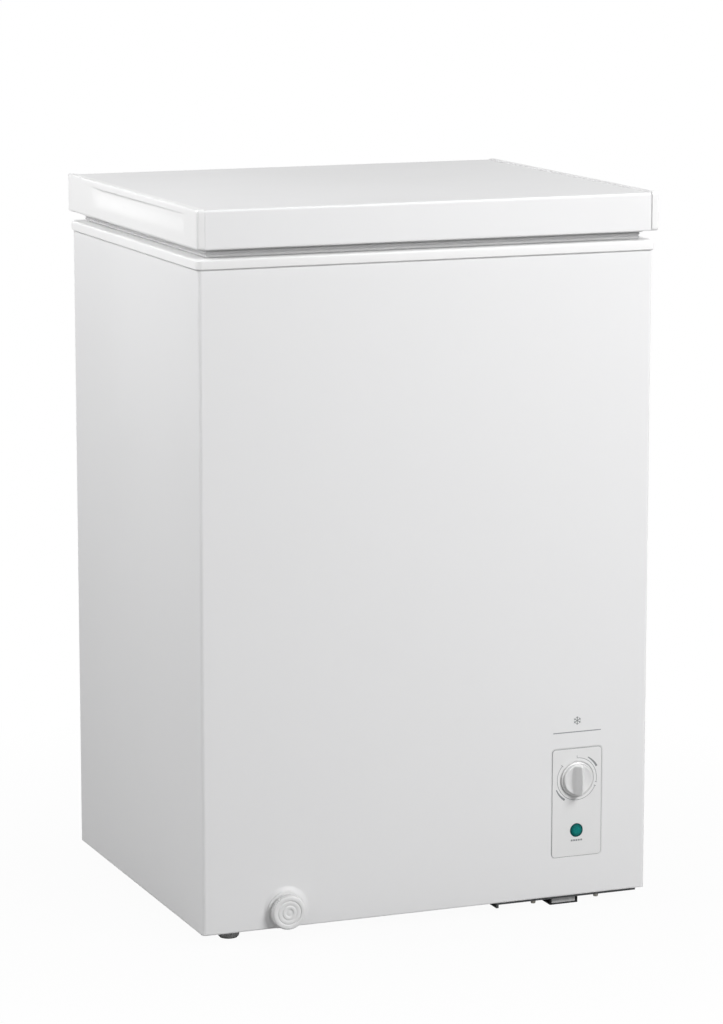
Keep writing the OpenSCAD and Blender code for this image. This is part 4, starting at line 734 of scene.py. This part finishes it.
skirt_back = -(knob_high[1] - fascia_y)
disc_h = 5.4
grip_h = fascia_y - knob_low[1]
grip_half = 8.6
ridge_half = 0.9
grip_reach = knob_radius - 2.4
knob_profile = [
    (0, skirt_back, 0), (knob_radius - 0.4, skirt_back, 0), (knob_radius, skirt_back + 0.4, 0),
    (knob_radius, 1.0, 0), (knob_radius - 0.3, 1.8, 0), (knob_radius - 0.9, 2.2, 0),
    (knob_radius - 1.5, 2.2, 0), (knob_radius - 1.7, 1.6, 0), (knob_radius - 2.1, 1.6, 0),
    (knob_radius - 2.2, disc_h - 1.6, 0), (knob_radius - 2.5, disc_h - 0.6, 0),
    (knob_radius - 3.2, disc_h, 0), (knob_radius - 4.0, disc_h - 0.1, 0),
    (knob_radius - 6.0, disc_h - 0.6, 0), (knob_radius - 11, disc_h - 1.2, 0), (0, disc_h - 1.3, 0),
]
knob_parts = [turned(knob_profile, (knob_x, fascia_y, knob_z), "-Y", 128)]
across, rows = 24, 44
grip_points, grip_faces = [], []
for j in range(rows + 1):
    v = -math.cos(math.pi * j / rows)
    for i in range(across + 1):
        u = -1 + 2 * i / across
        x = grip_half * u
        z = v * math.sqrt(grip_reach ** 2 - x ** 2)
        flank = min(1.0, (1 - abs(u)) / (1 - ridge_half / grip_half))
        flank = 0.45 * flank + 0.55 * flank * flank
        tip = min(1.0, (1 - abs(v)) / 0.05)
        tip = math.sin(tip * math.pi / 2) ** 0.6 if tip > 0 else 0
        swell = 1 - 0.1 * v * v
        height = disc_h - 1.6 + (grip_h - disc_h + 1.6) * flank * tip * swell
        grip_points.append((knob_x + x, fascia_y - height, knob_z + z))
for j in range(rows):
    for i in range(across):
        a = j * (across + 1) + i
        grip_faces.append((a, a + 1, a + across + 2, a + across + 1))
knob_parts.append((grip_points, grip_faces))
satin = smooth_coating(
    "satin knob", (0.86, 0.86, 0.86), (0.80, 0.80, 0.80), 0.34, 0.26, 2400, 0.00001, 0.0006, dust=0.05,
    Metallic=0.25, Coat_Weight=0.2, Coat_Roughness=0.2)
knob = piece_of("knob_with_grip", knob_parts, satin, 60)
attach(knob, "knob")
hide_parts("thermostat_knob")

# ---- hinges ----
# Pressed steel brackets on the back with a pin, a coiled spring and a leaf under each side
# of the lid. The plates are zinc plated, the springs are oiled black wire.

hinge_plate = bare_metal(
    "hinge plate", (0.68, 0.68, 0.66), (0.50, 0.49, 0.46), 0.28, 0.42, (1.0, 1.0, 0.06), 500)
dress(hinge_plate, "hinge_bracket_left", "hinge_bracket_right", "hinge_leaf_left", "hinge_leaf_right")
spring_wire = bare_metal(
    "oiled spring wire", (0.20, 0.20, 0.20), (0.10, 0.095, 0.09), 0.25, 0.4, (1.0, 0.1, 0.1), 900)
dress(spring_wire, "hinge_springs")

# ---- lid ----
# A folded skin of the same painted sheet over foam, closed at each end by a white moulded
# cap. Each cap has a finger recess: a crisp upper lip, and a floor that swells back outward.

dress(white_paint("white paint on the lid"), "lid_skin")
rim_low, rim_high = corners_of("lid_cap_left")
lid_low, _ = corners_of("lid_skin")
end_round = 2.8
lip_round = 2.6
corner_round = 3.2
lip_z = rim_low[2] + 37
recess_h = 24
recess_start = rim_low[1] + 44
recess_run = 230
recess_grip = 70
recess_fade = 40
shallow, deep = 1.5, 3.2


def eased(t):
    """Smooth step from 0 to 1."""
    t = max(0.0, min(1.0, t))
    return t * t * (3 - 2 * t)


def recess_depth(y, z):
    """How far the recess goes in behind the cap's face."""
    if y < recess_start or z > lip_z:
        return 0.0
    run = y - recess_start
    depth = shallow + (deep - shallow) * eased(run / recess_run) ** 1.3
    depth *= 1 - eased((run - recess_run - recess_grip) / recess_fade)
    down = (lip_z - z) / recess_h
    return depth * (1 - eased((down - 0.18) / 0.82)) if down < 1 else 0.0


def round_over(distance, radius):
    """How far a rounded edge has fallen back at a distance from it."""
    if distance >= radius:
        return 0.0
    return radius - math.sqrt(max(0.0, radius ** 2 - (radius - distance) ** 2))


def spaced(low, high, edge, step, extra):
    """Grid lines between two edges: close together at each edge and at the extra places."""
    lines = {low + edge * (1 - math.cos(math.pi / 2 * i / 6)) for i in range(7)}
    lines |= {high - edge * (1 - math.cos(math.pi / 2 * i / 6)) for i in range(7)}
    count = int((high - low - 2 * edge) / step)
    lines |= {low + edge + (high - low - 2 * edge) * i / count for i in range(count + 1)}
    kept = [line for line in lines if all(abs(line - other) > step * 0.3 for other in extra)]
    return sorted(kept + list(extra))


y_lines = spaced(rim_low[1], rim_high[1], end_round, 5, [
    recess_start - 0.6, recess_start - 0.15, recess_start + 0.02, recess_start + 0.5, recess_start + 1.5])
z_lines = spaced(rim_low[2], rim_high[2], lip_round, 1.6, [
    lip_z - 0.6, lip_z - 0.02, lip_z + 0.15, lip_z + 0.7, lip_z + 1.5])


def cap_outline_point(y, z):
    """Draw the grid's square corners in to round ones."""
    near_y = min(max(y, rim_low[1] + corner_round), rim_high[1] - corner_round)
    near_z = min(max(z, rim_low[2] + corner_round), rim_high[2] - corner_round)
    a, b = y - near_y, z - near_z
    if a and b:
        share = max(abs(a), abs(b)) / math.hypot(a, b)
        a, b = a * share, b * share
    return near_y + a, near_z + b


def lid_cap(side):
    """One end cap as a closed skin: side is -1 on the left and 1 on the right."""
    x_out, x_seam, x_deep = 285, 276, 262.4
    points, faces = [], []
    wide, tall = len(y_lines), len(z_lines)
    for z in z_lines:
        for y in y_lines:
            back = math.hypot(
                round_over(min(y - rim_low[1], rim_high[1] - y), end_round),
                round_over(min(z - rim_low[2], rim_high[2] - z), lip_round))
            x = x_out - min(back, 7) - recess_depth(y, z)
            points.append((side * x, *cap_outline_point(y, z)))
    for j in range(tall - 1):
        for i in range(wide - 1):
            a = j * wide + i
            faces.append((a, a + 1, a + wide + 1, a + wide))
    border = list(range(wide)) + [j * wide + wide - 1 for j in range(1, tall)]
    border += [(tall - 1) * wide + i for i in range(wide - 2, -1, -1)]
    border += [j * wide for j in range(tall - 2, 0, -1)]
    middle = ((rim_low[1] + rim_high[1]) / 2, (rim_low[2] + rim_high[2]) / 2)
    rings = [border]
    for x, inset in ((x_seam, 0), (x_seam, 1.9), (x_deep, 1.9)):
        start = len(points)
        for index in border:
            _, y, z = points[index]
            reach_y = (rim_high[1] - rim_low[1]) / 2
            reach_z = (rim_high[2] - rim_low[2]) / 2
            points.append((side * x, middle[0] + (y - middle[0]) * (1 - inset / reach_y),
                           middle[1] + (z - middle[1]) * (1 - inset / reach_z)))
        rings.append(list(range(start, start + len(border))))
    for one, two in zip(rings, rings[1:]):
        for i in range(len(border)):
            k = (i + 1) % len(border)
            faces.append((one[i], one[k], two[k], two[i]))
    faces.append(tuple(rings[-1]))
    return points, faces


for side, name in ((-1, "left"), (1, "right")):
    end_cap = piece_of("end_cap_" + name, [lid_cap(side)], white_moulding, 38)
    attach(end_cap, "lid")
    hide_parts("lid_cap_" + name)

# ---- lid liner ----
# Thin white plastic, vacuum formed into a shallow pan that drops into the cavity. Its floor
# is stiffened by a border step and by long ribs.

pan_low, pan_high = corners_of("lid_liner")
rim_z = lid_low[2]


def pan_ring(inset, z, radius):
    """Outline of the pan's flat edge, drawn in from its rim."""
    return rounded_outline(
        pan_low[0] + inset, pan_high[0] - inset, pan_low[1] + inset, pan_high[1] - inset, radius, z)


drop_x, drop_front, drop_rear = 207, -160.3, 151.7


def drop_ring(out, lift, radius):
    """Outline of the sunk middle, outside its floor's edge and above its lowest face."""
    return rounded_outline(
        -drop_x - out, drop_x + out, drop_front - out, drop_rear + out, radius, pan_low[2] + lift)


drop_h = rim_z - pan_low[2]
pan_rings = [
    pan_ring(0, pan_high[2], 2), pan_ring(0, rim_z, 2),
    drop_ring(8, drop_h, 16), drop_ring(6, drop_h - 0.3, 15), drop_ring(4, drop_h - 1.6, 14),
    drop_ring(1.6, 1.6, 13), drop_ring(0.8, 0.5, 12), drop_ring(-1, 0, 11),
    drop_ring(-18, 0, 9), drop_ring(-19, 0.2, 8), drop_ring(-20, 0.8, 7), drop_ring(-21, 1.0, 6),
]
liner_white = smooth_coating(
    "formed liner", (0.80, 0.80, 0.80), (0.76, 0.76, 0.76), 0.4, 0.3, 500, 0.00006, 0.0008, dust=0.05)
pan_parts = [loft(pan_rings, first_lid=True, last_lid=True)]
rib_reach = 118
for x in (-96, -48, 0, 48, 96):
    rib = [
        rounded_outline(
            x - half, x + half, -rib_reach - half, rib_reach - 8 + half, half * 0.98, pan_low[2] + lift, 6)
        for half, lift in ((8, 1.1), (7.4, 0.8), (6.2, 0.2), (5, 0))
    ]
    pan_parts.append(loft(rib, last_lid=True, first_lid=True))
pan = piece_of("lid_pan", pan_parts, liner_white, 40)
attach(pan, "lid")
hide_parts("lid_liner")

# ---- gasket ----
# Grey magnetic door rubber, welded into a frame and pressed into the lid's edge. Below a
# soft flange its bellows fold in two ribs that flatten on the collar.

seal_low, seal_high = corners_of("lid_gasket")
seal_w = 22
flange_h = 2.4
fold_in = 4.4


def seal_ring(inset, z):
    """Outline of the gasket, drawn in from its flange's edge."""
    return rounded_outline(
        seal_low[0] + inset, seal_high[0] - inset, seal_low[1] + inset, seal_high[1] - inset,
        max(6 - inset, 2.0), z, 6)


fold_top, fold_bottom = seal_high[2] - flange_h, seal_low[2]
seal_rings = [
    seal_ring(seal_w, seal_high[2]), seal_ring(0.7, seal_high[2]), seal_ring(0.1, seal_high[2] - 0.5),
    seal_ring(0, seal_high[2] - 1.2), seal_ring(0.3, fold_top + 0.3), seal_ring(1.4, fold_top)]
fold_steps = 31
for i in range(1, fold_steps):
    share = i / fold_steps
    bulge = abs(math.sin(math.pi * 2 * share)) ** 0.8
    seal_rings.append(seal_ring(fold_in + 1.2 - 1.6 * bulge, fold_top - share * (fold_top - fold_bottom)))
seal_rings += [seal_ring(fold_in + 1.6, fold_bottom), seal_ring(seal_w, fold_bottom)]
rubber = smooth_coating(
    "gasket rubber", (0.66, 0.66, 0.665), (0.60, 0.60, 0.605), 0.62, 0.5, 500, 0.00002, 0.0, dust=0.05,
    Sheen_Weight=0.15)
seal = piece_of("gasket_bellows", [loft(seal_rings, closed=True)], rubber, 60)
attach(seal, "lid")
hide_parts("lid_gasket")

# ---- basket ----
# Steel wire, welded and dipped in white plastic, hung by its two long bars on the collar's
# ledge. The dip runs thicker at the welds and is a little uneven.

dipped_wire = smooth_coating(
    "dipped wire", (0.80, 0.80, 0.79), (0.74, 0.74, 0.73), 0.4, 0.28, 300, 0.0001, 0.0015,
    dust=0.05, Coat_Weight=0.2)
dress(dipped_wire, "wire_basket")

# ---- studio ----
# A plain pale floor under soft lamps: a broad key high on the right in front, and weaker ones
# in front, on the left, overhead and behind, in an even pale surround.

camera_data = bpy.data.cameras.new("camera")
camera_data.lens = 135.10
camera_data.sensor_width = 36
camera_data.clip_end = 100
camera = bpy.data.objects.new("camera", camera_data)
bpy.context.scene.collection.objects.link(camera)
camera.location = (-1.6940, -4.2562, 1.2799)
camera.rotation_mode = "QUATERNION"
camera.rotation_quaternion = Vector((0.3655, 0.9136, -0.1783)).to_track_quat("-Z", "Y")
bpy.context.scene.camera = camera
bpy.context.scene.view_settings.view_transform = "Standard"

lamps = {
    "key": ((1.3, -2.2, 1.9), (0.1, -0.1, 0.5), 1.4, 1.4, 70),
    "front": ((0.2, -3.2, 1.2), (0.0, 0.0, 0.5), 1.6, 1.6, 5.9),
    "fill": ((0.9, -2.4, 2.8), (0.2, 0.0, 0.7), 1.6, 1.2, 5.5),
    "left": ((-2.4, 0.2, 1.6), (-0.28, 0.0, 0.6), 1.2, 1.4, 17.7),
    "left front": ((-2.6, -1.8, 1.2), (-0.28, -0.1, 0.5), 1.2, 1.4, 9.9),
    "left top": ((-1.3, 0.1, 1.5), (-0.28, 0.0, 0.75), 0.8, 0.8, 14),
    "over": ((1.6, 0.2, 2.2), (0.0, 0.0, 0.8), 1.2, 1.2, 19.5),
    "back": ((0.9, 2.6, 0.4), (0.0, 0.2, 0.45), 1.6, 0.7, 34),
}
for name, (spot, aim, width, height, power) in lamps.items():
    lamp_data = bpy.data.lights.new(name, "AREA")
    lamp_data.shape = "RECTANGLE"
    lamp_data.size, lamp_data.size_y = width, height
    lamp_data.energy = power
    lamp = bpy.data.objects.new(name, lamp_data)
    bpy.context.scene.collection.objects.link(lamp)
    lamp.location = spot
    lamp.rotation_mode = "QUATERNION"
    lamp.rotation_quaternion = (Vector(aim) - Vector(spot)).to_track_quat("-Z", "Y")

backdrop_white = 1.0
surround = bpy.data.worlds.new("surround")
surround.use_nodes = True
bpy.context.scene.world = surround
tree = surround.node_tree
tree.nodes.clear()
ray = add(tree, "ShaderNodeLightPath")
even = add(tree, "ShaderNodeBackground", {"Color": (1, 1, 1, 1), "Strength": 0.01})
seen = add(tree, "ShaderNodeBackground", {"Color": (1, 1, 1, 1), "Strength": backdrop_white})
mirrored = add(tree, "ShaderNodeMath", {0: ray.outputs["Is Glossy Ray"], 1: 0.5}, operation="MULTIPLY")
part = add(
    tree, "ShaderNodeMath", {0: ray.outputs["Is Camera Ray"], 1: mirrored.outputs[0]}, operation="MAXIMUM")
either = add(tree, "ShaderNodeMixShader", {0: part.outputs[0], 1: even.outputs[0], 2: seen.outputs[0]})
add(tree, "ShaderNodeOutputWorld", {0: either.outputs[0]})

floor_size = 15.0
floor_mesh = bpy.data.meshes.new("floor")
work = bmesh.new()
bmesh.ops.create_grid(work, x_segments=8, y_segments=8, size=floor_size)
work.to_mesh(floor_mesh)
work.free()
floor = bpy.data.objects.new("floor", floor_mesh)
bpy.context.scene.collection.objects.link(floor)
floor_paint, tree, shader = finish_of("studio floor", (0.34, 0.34, 0.34), 0.9)
bright = add(tree, "ShaderNodeEmission", {"Strength": backdrop_white})
ray = add(tree, "ShaderNodeLightPath")
place = add(tree, "ShaderNodeTexCoord").outputs["Object"]
away = add(tree, "ShaderNodeVectorMath", {0: place}, operation="LENGTH")
fade = add(tree, "ShaderNodeMapRange", {
    "Value": away.outputs["Value"], "From Min": 0.3, "From Max": 0.9, "To Min": 0.96, "To Max": 1.0})
share = add(
    tree, "ShaderNodeMath", {0: ray.outputs["Is Camera Ray"], 1: fade.outputs[0]}, operation="MULTIPLY")
either = add(tree, "ShaderNodeMixShader", {0: share.outputs[0], 1: shader.outputs[0], 2: bright.outputs[0]})
tree.links.new(either.outputs[0], tree.nodes["Material Output"].inputs["Surface"])
floor_mesh.materials.append(floor_paint)
